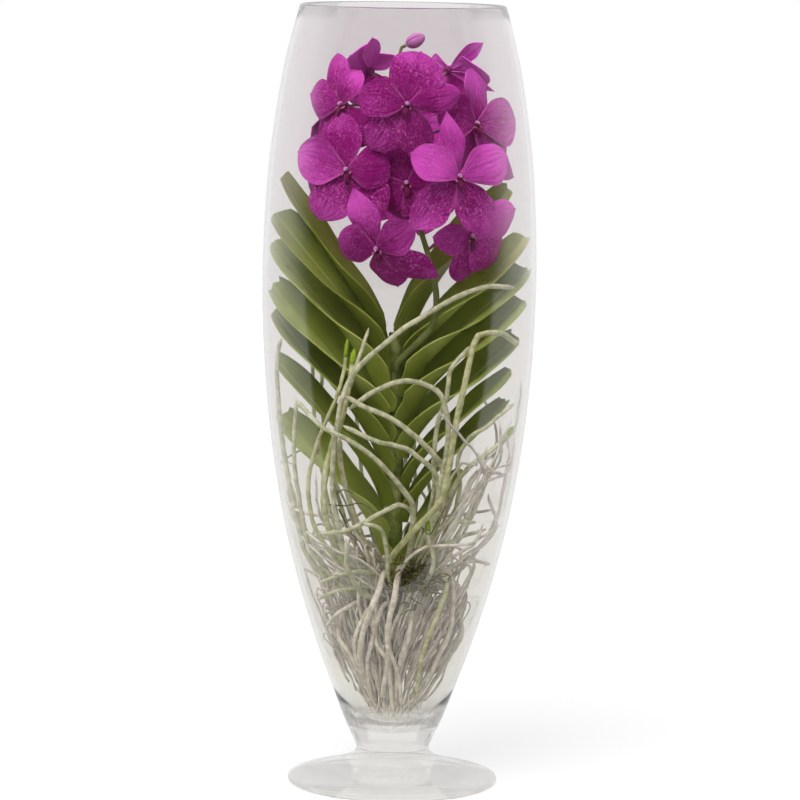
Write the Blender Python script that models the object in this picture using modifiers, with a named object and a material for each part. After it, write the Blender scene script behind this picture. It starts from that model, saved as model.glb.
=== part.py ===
"""Vanda orchid grown with bare roots in a tall footed glass vase.

The vase is one turned piece of clear glass. The plant stands in it on its own
roots: a woody lower stem with its root mass, a leafy stem with two ranks of
keeled strap leaves, and a flower spike with open blooms and one bud.
Sizes are in millimetres and are scaled to metres when a mesh is made.
The foot's underside lies at Z = 0 round the Z axis, and the front faces -Y.
"""
import math
import random

import bmesh
import bpy
import numpy as np
from mathutils import Matrix, Vector

MM = 0.001
TOUCH_GAP = 0.3
MERGE_DISTANCE = 0.0001

# Vase: radius and height of its outer side, from the rim down to the neck
VASE_HEIGHT = 700.0
VASE_OUTSIDE = [(92.0, 698.2), (104.0, 651.0), (112.9, 598.0), (118.9, 544.0), (122.2, 470.0),
                (120.8, 400.0), (115.0, 328.0), (103.5, 252.0), (88.6, 188.0), (71.0, 130.0),
                (56.0, 89.0), (45.0, 60.0), (36.0, 40.0)]
WALL = 4.2
RIM_ROUND = 1.4
NECK_RADIUS = 32.6
NECK_HEIGHT = 30.0
FOOT_TOP = [(34.2, 26.2), (42.0, 21.4), (58.0, 15.2), (78.0, 9.4), (90.5, 6.4)]
FOOT_RADIUS = 94.6
FOOT_EDGE_HEIGHT = 3.6
FOOT_FLAT_RADIUS = 91.5
BOWL_FLOOR = [(0.0, 52.0), (16.0, 52.4), (29.0, 55.6), (37.5, 62.5)]
VASE_SIDES = 32
WALL_CLEARANCE = 0.85

# Leafy stem and the woody stem end below it
STEM_X = -1.5
STEM_RADIUS = 7.58
STEM_SIDES = 16
STEM_FOOT = 172.0
STEM_TOP = 408.0
ROOTSTOCK_FOOT = 98.0
ROOTSTOCK_RADIUS = 8.6

# Strap leaves, keeled along their midrib, whose bases clasp the stem from both sides
LEAF_THICKNESS = 1.2
KEEL_AT_BASE = 12.0
OPENING_AT_BASE = 45.0
SHEATH_LEAN = 0.30
LEAF_ROWS = 9
TURN_START = 0.35
OPENING_END = 0.7
SHEATH_FULLNESS = 0.90
TIP_TAPER = 0.93
TIP_POWER = 7
# name, side, base height, tip, outward lean, rise, turn to the front, half width, opening at the tip
LEAVES = [
    ("leaf_left_1", -1, 390, (-108, -4, 553), 0.28, 0.46, 26, 23.0, 60),
    ("leaf_left_2", -1, 364, (-112, -10, 515), 0.30, 0.46, 46, 24.0, 66),
    ("leaf_left_3", -1, 337, (-114, 4, 492), 0.32, 0.46, 40, 24.0, 66),
    ("leaf_left_4", -1, 309, (-113, -6, 449), 0.32, 0.46, 44, 24.0, 66),
    ("leaf_left_5", -1, 281, (-111, 4, 406), 0.33, 0.46, 36, 23.0, 64),
    ("leaf_left_6", -1, 251, (-108, -6, 360), 0.34, 0.48, 34, 21.0, 66),
    ("leaf_left_7", -1, 206, (-106, 4, 335), 0.26, 0.46, 46, 25.0, 66),
    ("leaf_right_1", 1, 396, (100, 10, 540), 0.02, 0.74, 14, 27.0, 32),
    ("leaf_right_2", 1, 376, (112, -6, 497), 0.24, 0.50, 46, 24.0, 66),
    ("leaf_right_3", 1, 350, (114, 4, 470), 0.30, 0.48, 42, 24.0, 66),
    ("leaf_right_4", 1, 323, (111, -4, 442), 0.32, 0.46, 42, 24.0, 66),
    ("leaf_right_5", 1, 295, (108, 4, 408), 0.33, 0.46, 38, 22.0, 66),
    ("leaf_right_6", 1, 266, (102, -6, 374), 0.33, 0.47, 38, 20.0, 66),
    ("leaf_right_7", 1, 237, (99, 6, 348), 0.33, 0.47, 36, 19.0, 66),
    ("leaf_right_8", 1, 196, (60, -4, 286), 0.30, 0.50, 34, 18.0, 66),
]
# The leaf bases nearly meet in front of the stem, and part where the flower spike comes out
SEAM = 1.0
SPIKE_SEAM = 4.0
SPIKE_SEAM_LEAD = 24.0
SPIKE_SEAM_BLEND = 20.0
SPIKE_FOOT = 374.0

# Flower spike: the main stalk, from the stem up through the blooms to the bud
SPIKE_PATH = [(STEM_X, -11.2, SPIKE_FOOT), (STEM_X + 0.5, -11.8, 381), (7, -18.5, 391), (17, -24, 402),
              (27, -27, 413), (32, -28, 426), (33, -28, 442), (30, -28, 462), (24, -27, 484),
                (17, -24, 508),
              (9, -6, 560), (3, 0, 610), (-2, 0, 642), (-2.8, 0, 653), (-1.2, 0, 661.6), (2.6, 0, 663.6)]
SPIKE_RADIUS = 3.1
SPIKE_TIP_RADIUS = 1.5
PEDICEL_RADIUS = 1.6
PEDICEL_DROP = 14.0
PEDICEL_TOP = 640.0
PEDICEL_STRAIGHT = 5.0
PEDICEL_BEND = 16.0
PEDICEL_ARCH = 2.0
SPIKE_STEP = 16.0
PEDICEL_STEP = 26.0
BUD_LENGTH = 17.5
BUD_TILT = 62.0
BUD_RADIUS = 6.0

# Blooms: centre, the way they face round the vase (0 is the front, 90 the right), lift, roll, size
TEPAL_THICKNESS = 0.9
BLOOMS = [
    ("bloom_front_top", (4, -60, 614), 4, 4, -14, 1.00),
    ("bloom_front_right", (50, -76, 553), 20, 0, 3, 1.00),
    ("bloom_front_left", (-47, -46, 555), -18, 4, 12, 0.98),
    ("bloom_front_low", (-20, -60, 488), -12, -22, 14, 0.96),
    ("bloom_front_middle", (-5, -42, 530), 0, 0, 4, 0.86),
    ("bloom_left_top", (-52, -24, 611), -42, 6, 6, 0.96),
    ("bloom_right_top", (64, -30, 596), 48, 8, 0, 0.96),
    ("bloom_right_low", (62, -34, 498), 34, -14, 0, 0.96),
    ("bloom_right_back", (68, 50, 574), 114, 4, 0, 0.94),
    ("bloom_crown_left", (-30, 20, 640), -130, 38, 0, 0.86),
    ("bloom_crown_right", (42, 24, 642), 122, 38, 0, 0.86),
    ("bloom_back_left", (-62, 44, 562), -116, 4, 0, 0.96),
    ("bloom_back_middle", (4, 66, 590), 180, 6, 0, 0.98),
    ("bloom_back_low", (10, 78, 514), 177, -4, 0, 0.96),
]
# direction in the bloom's own plane, length, width, lift in front of the bloom's plane
TEPALS = [("top_sepal", 90, 46, 35, -1.4), ("right_petal", 16, 46, 37, 1.4),
                ("left_petal", 164, 46, 37, 1.4),
          ("right_sepal", -54, 46, 41, -1.4), ("left_sepal", 234, 46, 41, -3.6)]
# share of the length and of the half width, from the claw to the round tip
TEPAL_OUTLINE = [(0.05, 0.15), (0.32, 0.60), (0.66, 1.00), (0.90, 0.78), (1.00, 0.32)]
TEPAL_REFLEX = 6.0
TEPAL_CUP = 2.2
TEPAL_TIP_ROUND = 0.05
COLUMN_RADIUS = 4.2
COLUMN_BACK = -2.0
LIP_RADII = (3.4, 6.5, 2.2)
LIP_PLACE = (0.0, -5.5, 3.6)
LIP_TILT = -28.0

# Roots: base and tip radius, and the route from the woody stem end to the tip
ROOTS = [
    (4.4, 3.0, [(-1, -20, 172), (-22, -34, 184), (-45, -50, 209), (-60, -64, 247), (-62, -70, 284),
                (-56, -70, 315), (-48, -68, 341), (-42, -66, 368), (-38, -60, 400)]),
    (3.4, 2.8, [(-14, -22, 172), (-24, -40, 214), (-39, -58, 262), (-47, -60, 289), (-50, -58, 321)]),
    (2.8, 2.0, [(-12, -14, 160), (-40, -40, 194), (-69, -54, 237), (-76, -60, 283), (-67, -62, 323),
                (-54, -64, 354), (-47, -62, 381), (-44, -58, 408)]),
    (3.4, 2.8, [(-8, -16, 170), (-40, -52, 209), (-54, -76, 267), (-54, -80, 321), (-46, -80, 363),
                (-34, -80, 387), (-7, -82, 412), (16, -82, 428), (49, -78, 448), (77, -66, 457),
                (100, -45, 454)]),
    (3.4, 2.8, [(4, -16, 172), (22, -40, 209), (35, -62, 248), (39, -74, 286), (44, -80, 318),
                (44, -82, 340), (38, -84, 363), (24, -86, 372), (4, -88, 375), (-17, -86, 368),
                (-42, -80, 349)]),
    (3.6, 2.8, [(6, -16, 176), (26, -40, 211), (39, -58, 257), (40, -68, 294), (29, -78, 313),
                (11, -86, 330), (-5, -90, 342), (-32, -90, 354), (-46, -88, 361)]),
    (3.2, 2.6, [(5, -16, 182), (20, -44, 218), (34, -60, 253), (35, -70, 288), (20, -80, 306),
                (7, -86, 316), (-19, -92, 323), (-47, -88, 335)]),
    (3.4, 2.6, [(3, -18, 176), (11, -44, 209), (14, -66, 240), (14, -78, 264), (6, -86, 279),
                (-4, -92, 292), (-21, -96, 310), (-45, -94, 325), (-68, -83, 335), (-89, -60, 354)]),
    (4.4, 3.4, [(-4, -18, 172), (-5, -44, 207), (14, -68, 238), (37, -84, 267), (46, -90, 306),
                (53, -90, 351), (61, -88, 390), (69, -80, 414), (89, -62, 416), (105, -38, 403)]),
    (4.2, 3.0, [(-3, -16, 178), (-10, -42, 197), (-15, -56, 182), (-24, -52, 156), (-30, -36, 121),
                (-21, -16, 84)]),
    (3.0, 2.4, [(10, -14, 174), (20, -34, 221), (32, -52, 265), (33, -62, 302), (35, -66, 334),
                (43, -70, 361), (46, -70, 385), (64, -64, 405)]),
    (2.8, 2.2, [(12, -10, 172), (31, -26, 206), (50, -38, 245), (56, -46, 280), (54, -52, 301),
                (64, -54, 322), (78, -52, 331), (102, -36, 351)]),
    (3.2, 2.4, [(8, -12, 176), (32, -36, 231), (52, -58, 280), (64, -62, 297), (87, -52, 315),
                (102, -30, 329)]),
    (2.8, 2.2, [(-12, -8, 160), (-31, -22, 173), (-67, -36, 197), (-90, -42, 243), (-100, -38, 296),
                (-104, -38, 332), (-106, -40, 358), (-105, -40, 390), (-102, -42, 406)]),
    (2.6, 2.0, [(-12, -10, 164), (-40, -32, 179), (-72, -46, 217), (-84, -50, 263), (-90, -52, 308),
                (-88, -54, 353)]),
    (3.0, 2.4, [(8, -20, 176), (14, -46, 222), (16, -64, 250), (6, -77, 264), (-8, -80, 260),
                (-40, -79, 242), (-66, -62, 235)]),
    (2.8, 2.2, [(-3, -22, 174), (-7, -60, 203), (-8, -74, 224), (-14, -82, 244), (-31, -82, 248)]),
    (3.2, 2.6, [(-12, -26, 168), (-29, -50, 181), (-41, -68, 206), (-43, -75, 232)]),
    (4.2, 3.0, [(4, -16, 176), (4, -40, 203), (2, -56, 193), (-1, -60, 176), (-6, -54, 153),
                (-5, -40, 118), (-10, -22, 80)]),
    (2.8, 2.4, [(14, -26, 176), (26, -46, 190), (33, -60, 210), (29, -70, 236), (27, -74, 257)]),
    (2.8, 2.4, [(10, -22, 178), (24, -42, 214), (39, -58, 241), (54, -58, 247), (70, -50, 246)]),
    (2.8, 2.2, [(9, -15, 174), (22, -32, 200), (34, -42, 218), (53, -48, 230), (80, -30, 236)]),
    (3.0, 2.2, [(8, -14, 178), (31, -34, 202), (46, -44, 190), (40, -46, 166), (27, -38, 130),
                (20, -18, 82)]),
    (3.0, 2.2, [(-10, -18, 166), (-24, -40, 163), (-35, -38, 133), (-28, -24, 100), (-14, -10, 72)]),
    (3.0, 2.2, [(-6, -22, 176), (-18, -44, 196), (-40, -56, 200), (-66, -44, 188)]),
    (2.8, 2.2, [(-16, -32, 180), (-44, -48, 184), (-68, -30, 171)]),
    (2.8, 2.2, [(-14, -26, 172), (-44, -42, 165), (-61, -20, 145)]),
]
# Root branches, which start inside the root that carries them
BRANCHES = [
    (2.6, 1.9, [(-42, -66, 366), (-36, -63, 388), (-26, -58, 418)]),
    (2.6, 2.0, [(-6, -48, 134), (4, -36, 104), (8, -24, 72)]),
]
ROOT_SIDES_LEVEL = 1
ROOT_STEP = 30.0
ROOT_START_RISE = 36.0
RANDOM_SEED = 41
# Roots placed by rule: how many, base and tip radius, and the arc of the vase's back that they stand in
BACK_ROOTS = 7
BACK_ROOT_RADII = (2.9, 2.1)
BACK_ARC = (118.0, 242.0)
BACK_ROOT_TOPS = (250.0, 400.0)
NEST_ROOTS = 10
NEST_ROOT_RADII = (3.0, 2.2)
NEST_TURN = (50.0, 110.0)
NEST_SHOULDER = (150.0, 195.0)
NEST_WAIST = (100.0, 120.0)
NEST_FOOT = 56.0


def clear_scene():
    """Start from an empty file, whatever it held before."""
    for item in list(bpy.data.objects):
        bpy.data.objects.remove(item, do_unlink=True)


def plain_material(name, colour, roughness, metallic=0.0, transmission=0.0):
    """One Principled material with a plain colour."""
    material = bpy.data.materials.new(name)
    material.use_nodes = True
    shader = material.node_tree.nodes["Principled BSDF"]
    shader.inputs["Base Color"].default_value = (*colour, 1.0)
    shader.inputs["Roughness"].default_value = roughness
    shader.inputs["Metallic"].default_value = metallic
    shader.inputs["Transmission Weight"].default_value = transmission
    material.diffuse_color = (*colour, 1.0)
    return material


def smooth_points(points, step):
    """Points about a step apart on a smooth curve through the given points."""
    given = [np.array(point, dtype=float) for point in points]
    ends = [2 * given[0] - given[1], *given, 2 * given[-1] - given[-2]]
    result = []
    for before, start, end, after in zip(ends, ends[1:], ends[2:], ends[3:]):
        count = max(1, round(float(np.linalg.norm(end - start)) / step))
        for index in range(count):
            t = index / count
            result.append(0.5 * (2 * start + (end - before) * t
                                 + (2 * before - 5 * start + 4 * end - after) * t * t
                                 + (3 * start - before - 3 * end + after) * t ** 3))
    result.append(given[-1])
    return result


def evaluated_mesh(item):
    """The mesh of an object with its modifiers applied."""
    bpy.context.view_layer.update()
    graph = bpy.context.evaluated_depsgraph_get()
    return bpy.data.meshes.new_from_object(item.evaluated_get(graph), depsgraph=graph)


def add_object(name, mesh, collection, material=None):
    """A new object of a mesh, linked to a collection."""
    item = bpy.data.objects.new(name, mesh)
    collection.objects.link(item)
    if material:
        mesh.materials.clear()
        mesh.materials.append(material)
    return item


def fuse(name, pieces, collection, material, solver="EXACT"):
    """Join overlapping pieces into one body with a union on their collection."""
    tools = bpy.data.collections.new(name + "_pieces")
    bpy.context.scene.collection.children.link(tools)
    for piece in pieces[1:]:
        for owner in list(piece.users_collection):
            owner.objects.unlink(piece)
        tools.objects.link(piece)
    body = pieces[0]
    union = body.modifiers.new("union", "BOOLEAN")
    union.operation = "UNION"
    union.operand_type = "COLLECTION"
    union.collection = tools
    union.solver = solver
    mesh = evaluated_mesh(body)
    mesh.name = name
    for piece in pieces:
        bpy.data.objects.remove(piece, do_unlink=True)
    bpy.data.collections.remove(tools)
    return add_object(name, tidy_mesh(mesh), collection, material)


def islands(shape):
    """The separate shells of a mesh, each as a list of its faces, the one with most faces first."""
    left = set(shape.faces)
    found = []
    while left:
        waiting = [left.pop()]
        island = []
        while waiting:
            face = waiting.pop()
            island.append(face)
            for edge in face.edges:
                for other in edge.link_faces:
                    if other in left:
                        left.remove(other)
                        waiting.append(other)
        found.append(island)
    return sorted(found, key=len, reverse=True)


def tidy_mesh(mesh):
    """Keep a union's outer shell alone, without hollows or scraps, and split its faces into triangles."""
    shape = bmesh.new()
    shape.from_mesh(mesh)
    for scrap in islands(shape)[1:]:
        bmesh.ops.delete(shape, geom=scrap, context="FACES")
    bmesh.ops.triangulate(shape, faces=shape.faces)
    shape.to_mesh(mesh)
    shape.free()
    return mesh


def tube(name, points, radii, collection, sides_level=ROOT_SIDES_LEVEL):
    """A closed round tube along points, with its radius at each point."""
    data = bpy.data.curves.new(name, "CURVE")
    data.dimensions = "3D"
    data.bevel_depth = MM
    data.bevel_resolution = sides_level
    data.use_fill_caps = True
    line = data.splines.new("POLY")
    line.points.add(len(points) - 1)
    for point, place, radius in zip(line.points, points, radii):
        point.co = (place[0] * MM, place[1] * MM, place[2] * MM, 1.0)
        point.radius = radius
    curve = bpy.data.objects.new(name, data)
    collection.objects.link(curve)
    mesh = evaluated_mesh(curve)
    matrix = curve.matrix_world.copy()
    bpy.data.objects.remove(curve, do_unlink=True)
    shape = bmesh.new()
    shape.from_mesh(mesh)
    bmesh.ops.remove_doubles(shape, verts=shape.verts, dist=0.005 * MM)
    bmesh.ops.recalc_face_normals(shape, faces=shape.faces)
    shape.to_mesh(mesh)
    shape.free()
    item = add_object(name, mesh, collection)
    item.matrix_world = matrix
    return item


def vase_profile():
    """Radius and height from the bowl's floor up the inside, over the rim, down the outside to the foot."""
    outside = [(point[0], point[1]) for point in VASE_OUTSIDE]
    inside = [(radius - WALL, height) for radius, height in outside if height > BOWL_FLOOR[-1][1] + 1.0]
    rim = outside[0]
    rim_top = [(rim[0] - WALL + RIM_ROUND, VASE_HEIGHT), (rim[0] - RIM_ROUND, VASE_HEIGHT)]
    neck = [(NECK_RADIUS, NECK_HEIGHT)]
    foot = [*FOOT_TOP, (FOOT_RADIUS, FOOT_EDGE_HEIGHT), (FOOT_RADIUS - 0.6, 1.0),
                (FOOT_FLAT_RADIUS, 0.0), (0.0, 0.0)]
    return BOWL_FLOOR + inside[::-1] + rim_top + outside + neck + foot


def inside_radius(height):
    """Radius of the vase's inside at a height."""
    inside = [point for point in vase_profile()[:len(BOWL_FLOOR) + len(VASE_OUTSIDE)] if point[1] < VASE_HEIGHT]
    heights = [point[1] for point in inside]
    growing = [index for index in range(len(heights)) if index == 0 or heights[index] > heights[index - 1]]
    return float(np.interp(height, [heights[i] for i in growing], [inside[i][0] for i in growing]))


def kept_inside(place, radius):
    """A place moved in, so that a root of this radius just clears the glass."""
    x, y, z = place
    z = max(z, BOWL_FLOOR[1][1] + radius + WALL_CLEARANCE)
    slope = (inside_radius(z + 5) - inside_radius(z - 5)) / 10
    room = inside_radius(z) - (radius + WALL_CLEARANCE) * math.hypot(1.0, slope)
    reach = math.hypot(x, y)
    if reach > room:
        x, y = x * room / reach, y * room / reach
    return np.array((x, y, z))


def build_vase(collection):
    """The glass vase: one profile turned round the axis."""
    mesh = bpy.data.meshes.new("vase")
    shape = bmesh.new()
    points = [shape.verts.new((radius * MM, 0.0, height * MM)) for radius, height in vase_profile()]
    for start, end in zip(points, points[1:]):
        shape.edges.new((start, end))
    shape.to_mesh(mesh)
    shape.free()
    vase = add_object("vase", mesh, collection, plain_material("glass", (0.93, 0.95, 0.94), 0.02, transmission=1.0))
    turn = vase.modifiers.new("turn", "SCREW")
    turn.steps = VASE_SIDES
    turn.render_steps = VASE_SIDES
    turn.use_merge_vertices = True
    turn.merge_threshold = MERGE_DISTANCE
    turn.use_smooth_shade = True
    return vase


def build_stem(collection):
    """The green leafy stem, a slender column that the leaf bases clasp."""
    mesh = bpy.data.meshes.new("stem")
    shape = bmesh.new()
    bmesh.ops.create_cone(shape, cap_ends=True, segments=STEM_SIDES, radius1=STEM_RADIUS * MM,
                          radius2=STEM_RADIUS * MM, depth=(STEM_TOP - STEM_FOOT) * MM)
    shape.to_mesh(mesh)
    shape.free()
    stem = add_object("stem", mesh, collection, plain_material("stem_green", (0.16, 0.22, 0.05), 0.55))
    stem.location = (STEM_X * MM, 0.0, (STEM_TOP + STEM_FOOT) / 2 * MM)
    return stem


def leaf_line(side, base_height, tip, lean, rise, t):
    """Place and direction of a leaf's midrib, a share t of the way from its base to its tip."""
    base = np.array((STEM_X + side * KEEL_AT_BASE, 0.0, base_height))
    tip = np.array(tip, dtype=float)
    guide = np.array((base[0] + lean * (tip[0] - base[0]), 0.0, base_height + rise * (tip[2] - base_height)))
    sheath = base + (guide - base) * (2 / 3 * SHEATH_LEAN, 0.0, 2 / 3)
    bend = tip + (guide - tip) * 2 / 3 + (guide - base) * ((1 - SHEATH_LEAN) / 3, 0.0, 0.0)
    place = (1 - t) ** 3 * base + 3 * t * (1 - t) ** 2 * sheath + 3 * t * t * (1 - t) * bend + t ** 3 * tip
    along = (1 - t) ** 2 * (sheath - base) + 2 * t * (1 - t) * (bend - sheath) + t * t * (tip - bend)
    return place, along / np.linalg.norm(along)


def smooth_step(value):
    """A share that starts and ends gently between 0 and 1."""
    value = min(max(value, 0.0), 1.0)
    return value * value * (3 - 2 * value)


def leaf_row(leaf, t, across):
    """A point of a leaf's middle surface, t along it and across from -1 (front edge) to 1 (back edge)."""
    name, side, base_height, tip, lean, rise, turn, half_width, tip_opening = leaf
    place, along = leaf_line(side, base_height, tip, lean, rise, t)
    back = np.array((0.0, 1.0, 0.0))
    back = back - along * along.dot(back)
    back /= np.linalg.norm(back)
    inward = np.cross(back, along) * -side
    angle = math.radians(turn) * smooth_step((t - TURN_START) / (1 - TURN_START))
    inward, back = (inward * math.cos(angle) - back * math.sin(angle),
                    back * math.cos(angle) + inward * math.sin(angle))
    opening = math.radians(OPENING_AT_BASE + (tip_opening - OPENING_AT_BASE) * smooth_step(t / OPENING_END))
    fullness = SHEATH_FULLNESS + (1 - SHEATH_FULLNESS) * smooth_step(t / TURN_START)
    width = half_width * fullness * math.sqrt(1.0 - TIP_TAPER * t ** TIP_POWER)
    parted = smooth_step((place[2] - SPIKE_FOOT + SPIKE_SEAM_LEAD) / SPIKE_SEAM_BLEND)
    seam = SEAM + (SPIKE_SEAM - SEAM) * parted
    reach = (abs(place[0] - STEM_X) - seam) / math.cos(opening)
    width = min(width, reach) * abs(across)
    return place + width * (math.cos(opening) * inward + math.copysign(math.sin(opening), across) * back)


def build_leaf(leaf, collection, material):
    """One strap leaf: a keeled strip with a wall thickness."""
    name = leaf[0]
    mesh = bpy.data.meshes.new(name)
    shape = bmesh.new()
    bmesh.ops.create_grid(shape, x_segments=LEAF_ROWS, y_segments=2, size=1.0)
    for vertex in shape.verts:
        t = (vertex.co.x + 1) / 2
        vertex.co = Vector(leaf_row(leaf, t, vertex.co.y)) * MM
    bmesh.ops.triangulate(shape, faces=shape.faces)
    shape.to_mesh(mesh)
    shape.free()
    item = add_object(name, mesh, collection, material)
    wall = item.modifiers.new("thickness", "SOLIDIFY")
    wall.thickness = LEAF_THICKNESS * MM
    wall.offset = 0.0
    return item


def bloom_axes(facing, lift, roll):
    """The bloom's own right, up and outward directions."""
    facing, lift, roll = map(math.radians, (facing, lift, roll))
    outward = Vector((math.sin(facing) * math.cos(lift), -math.cos(facing) * math.cos(lift), math.sin(lift)))
    right = Vector((math.cos(facing), math.sin(facing), 0.0))
    up = outward.cross(right)
    return (right * math.cos(roll) + up * math.sin(roll), up * math.cos(roll) - right * math.sin(roll), outward)


def bloom_matrix(centre, facing, lift, roll):
    """Where a bloom's own frame lies, in metres."""
    right, up, outward = bloom_axes(facing, lift, roll)
    matrix = Matrix((right, up, outward)).transposed().to_4x4()
    matrix.translation = Vector(centre) * MM
    return matrix


def build_tepal(name, direction, length, width, lift, collection):
    """One petal or sepal: a narrow claw that widens to a round blade, bent slightly back."""
    mesh = bpy.data.meshes.new(name)
    shape = bmesh.new()
    rows = len(TEPAL_OUTLINE) - 1
    bmesh.ops.create_grid(shape, x_segments=rows, y_segments=2, size=1.0)
    angle = math.radians(direction)
    for vertex in shape.verts:
        row = round((vertex.co.x + 1) / 2 * rows)
        share, fullness = TEPAL_OUTLINE[row]
        side = vertex.co.y * width / 2 * fullness
        along = length * share * (1 - TEPAL_TIP_ROUND * abs(vertex.co.y))
        height = lift - TEPAL_REFLEX * share ** 2 + TEPAL_CUP * abs(vertex.co.y) * fullness
        vertex.co = Vector((along * math.cos(angle) - side * math.sin(angle),
                            along * math.sin(angle) + side * math.cos(angle), height)) * MM
    bmesh.ops.triangulate(shape, faces=shape.faces)
    shape.to_mesh(mesh)
    shape.free()
    item = add_object(name, mesh, collection)
    wall = item.modifiers.new("thickness", "SOLIDIFY")
    wall.thickness = TEPAL_THICKNESS * MM
    wall.offset = 0.0
    solid = add_object(name + "_solid", evaluated_mesh(item), collection)
    bpy.data.objects.remove(item, do_unlink=True)
    return solid


def build_ball(name, radii, centre, collection, detail=6, tilt=0.0):
    """A ball stretched to three radii, tilted about its own right axis."""
    mesh = bpy.data.meshes.new(name)
    shape = bmesh.new()
    bmesh.ops.create_uvsphere(shape, u_segments=detail, v_segments=detail - 2, radius=1.0)
    stretch = Matrix.Diagonal((*[radius * MM for radius in radii], 1.0))
    turn = Matrix.Rotation(math.radians(tilt), 4, "X")
    bmesh.ops.transform(shape, matrix=Matrix.Translation(Vector(centre) * MM) @ turn @ stretch, verts=shape.verts)
    shape.to_mesh(mesh)
    shape.free()
    return add_object(name, mesh, collection)


def build_bloom(bloom, collection, material):
    """One open bloom: column and lip in the middle of five tepals, fused as they grew."""
    name, centre, facing, lift, roll, size = bloom
    pieces = [build_ball(name + "_column", (COLUMN_RADIUS, COLUMN_RADIUS, COLUMN_RADIUS),
                         (0.0, 0.0, COLUMN_BACK), collection)]
    pieces.append(build_ball(name + "_lip", LIP_RADII, LIP_PLACE, collection, detail=5, tilt=LIP_TILT))
    for tepal, direction, length, width, front in TEPALS:
        pieces.append(build_tepal(name + "_" + tepal, direction, length * size, width * size, front, collection))
    item = fuse(name, pieces, collection, material)
    item.data.transform(bloom_matrix(centre, facing, lift, roll))
    return item


def spike_point(height):
    """The place on the flower stalk at a height."""
    path = smooth_points(SPIKE_PATH, 6.0)
    return min(path, key=lambda place: abs(place[2] - height))


def build_spike(collection, material):
    """The flower stalk with a thin stalk to each bloom and to the bud."""
    path = smooth_points(SPIKE_PATH, SPIKE_STEP)
    radii = [SPIKE_RADIUS + (SPIKE_TIP_RADIUS - SPIKE_RADIUS) * smooth_step(i / (len(path) - 1))
             for i in range(len(path))]
    pieces = [tube("stalk", path, radii, collection)]
    for name, centre, facing, lift, roll, size in BLOOMS:
        outward = np.array(bloom_axes(facing, lift, roll)[2])
        seat = np.array(centre, dtype=float) + outward * (COLUMN_BACK - COLUMN_RADIUS - TOUCH_GAP)
        start = spike_point(min(centre[2] - PEDICEL_DROP, PEDICEL_TOP))
        bend = seat - PEDICEL_BEND * outward + np.array((0.0, 0.0, PEDICEL_ARCH))
        route = smooth_points([start, bend, seat - PEDICEL_STRAIGHT * outward, seat], PEDICEL_STEP)
        pieces.append(tube("pedicel_" + name, route, [PEDICEL_RADIUS] * len(route), collection))
    return fuse("flower_spike", pieces, collection, material)


def build_bud(collection, material):
    """The closed bud on the end of the flower stalk."""
    bud = build_ball("bud", (BUD_RADIUS, BUD_RADIUS, BUD_LENGTH / 2), (0, 0, BUD_LENGTH / 2 + TOUCH_GAP),
                     collection, detail=10)
    bud.data.transform(Matrix.Rotation(math.radians(BUD_TILT), 4, "Y"))
    bud.data.transform(Matrix.Translation(Vector(SPIKE_PATH[-1]) * MM))
    bud.data.materials.append(material)
    return bud


def routed_roots():
    """Roots whose way through the vase is drawn point by point."""
    roots = []
    for base_radius, tip_radius, route in ROOTS:
        first = np.array(route[0], dtype=float)
        start_height = min(max(first[2] - ROOT_START_RISE, ROOTSTOCK_FOOT + 12), STEM_FOOT - 8)
        start = (STEM_X, 0.0, start_height)
        roots.append((base_radius, tip_radius, [start, *route]))
    return roots + BRANCHES


def on_circle(angle, radius, height):
    """A place at an angle round the vase (0 is the front, 90 the right)."""
    angle = math.radians(angle)
    return (radius * math.sin(angle), -radius * math.cos(angle), height)


def ruled_roots():
    """Roots that stand at the back of the vase, and those that wind down into the bowl."""
    rng = random.Random(RANDOM_SEED)
    roots = []
    first, last = BACK_ARC
    for index in range(BACK_ROOTS):
        angle = first + (last - first) * index / (BACK_ROOTS - 1)
        top = rng.uniform(*BACK_ROOT_TOPS)
        bend = rng.uniform(-26, 26)
        route = [(STEM_X, 0.0, 150), on_circle(angle, 34, 186), on_circle(angle + bend / 2, 66, 232),
                 on_circle(angle + bend, 88, (232 + top) / 2 + 10), on_circle(angle + bend, 92, top)]
        roots.append((*BACK_ROOT_RADII, route))
    for index in range(NEST_ROOTS):
        angle = 360 * index / NEST_ROOTS + rng.uniform(-10, 10)
        turn = rng.choice((-1, 1)) * rng.uniform(*NEST_TURN)
        shoulder = rng.uniform(*NEST_SHOULDER)
        waist = rng.uniform(*NEST_WAIST)
        hip = (shoulder + waist) / 2
        route = [(STEM_X, 0.0, rng.uniform(124, 146)), on_circle(angle, 30, shoulder),
                 on_circle(angle + turn * 0.15, 0.70 * inside_radius(shoulder), shoulder + 4),
                 on_circle(angle + turn * 0.4, 0.90 * inside_radius(hip), hip),
                 on_circle(angle + turn * 0.7, 0.84 * inside_radius(waist), waist),
                 on_circle(angle + turn, rng.uniform(10, 20), NEST_FOOT)]
        roots.append((*NEST_ROOT_RADII, route))
    return roots


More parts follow.
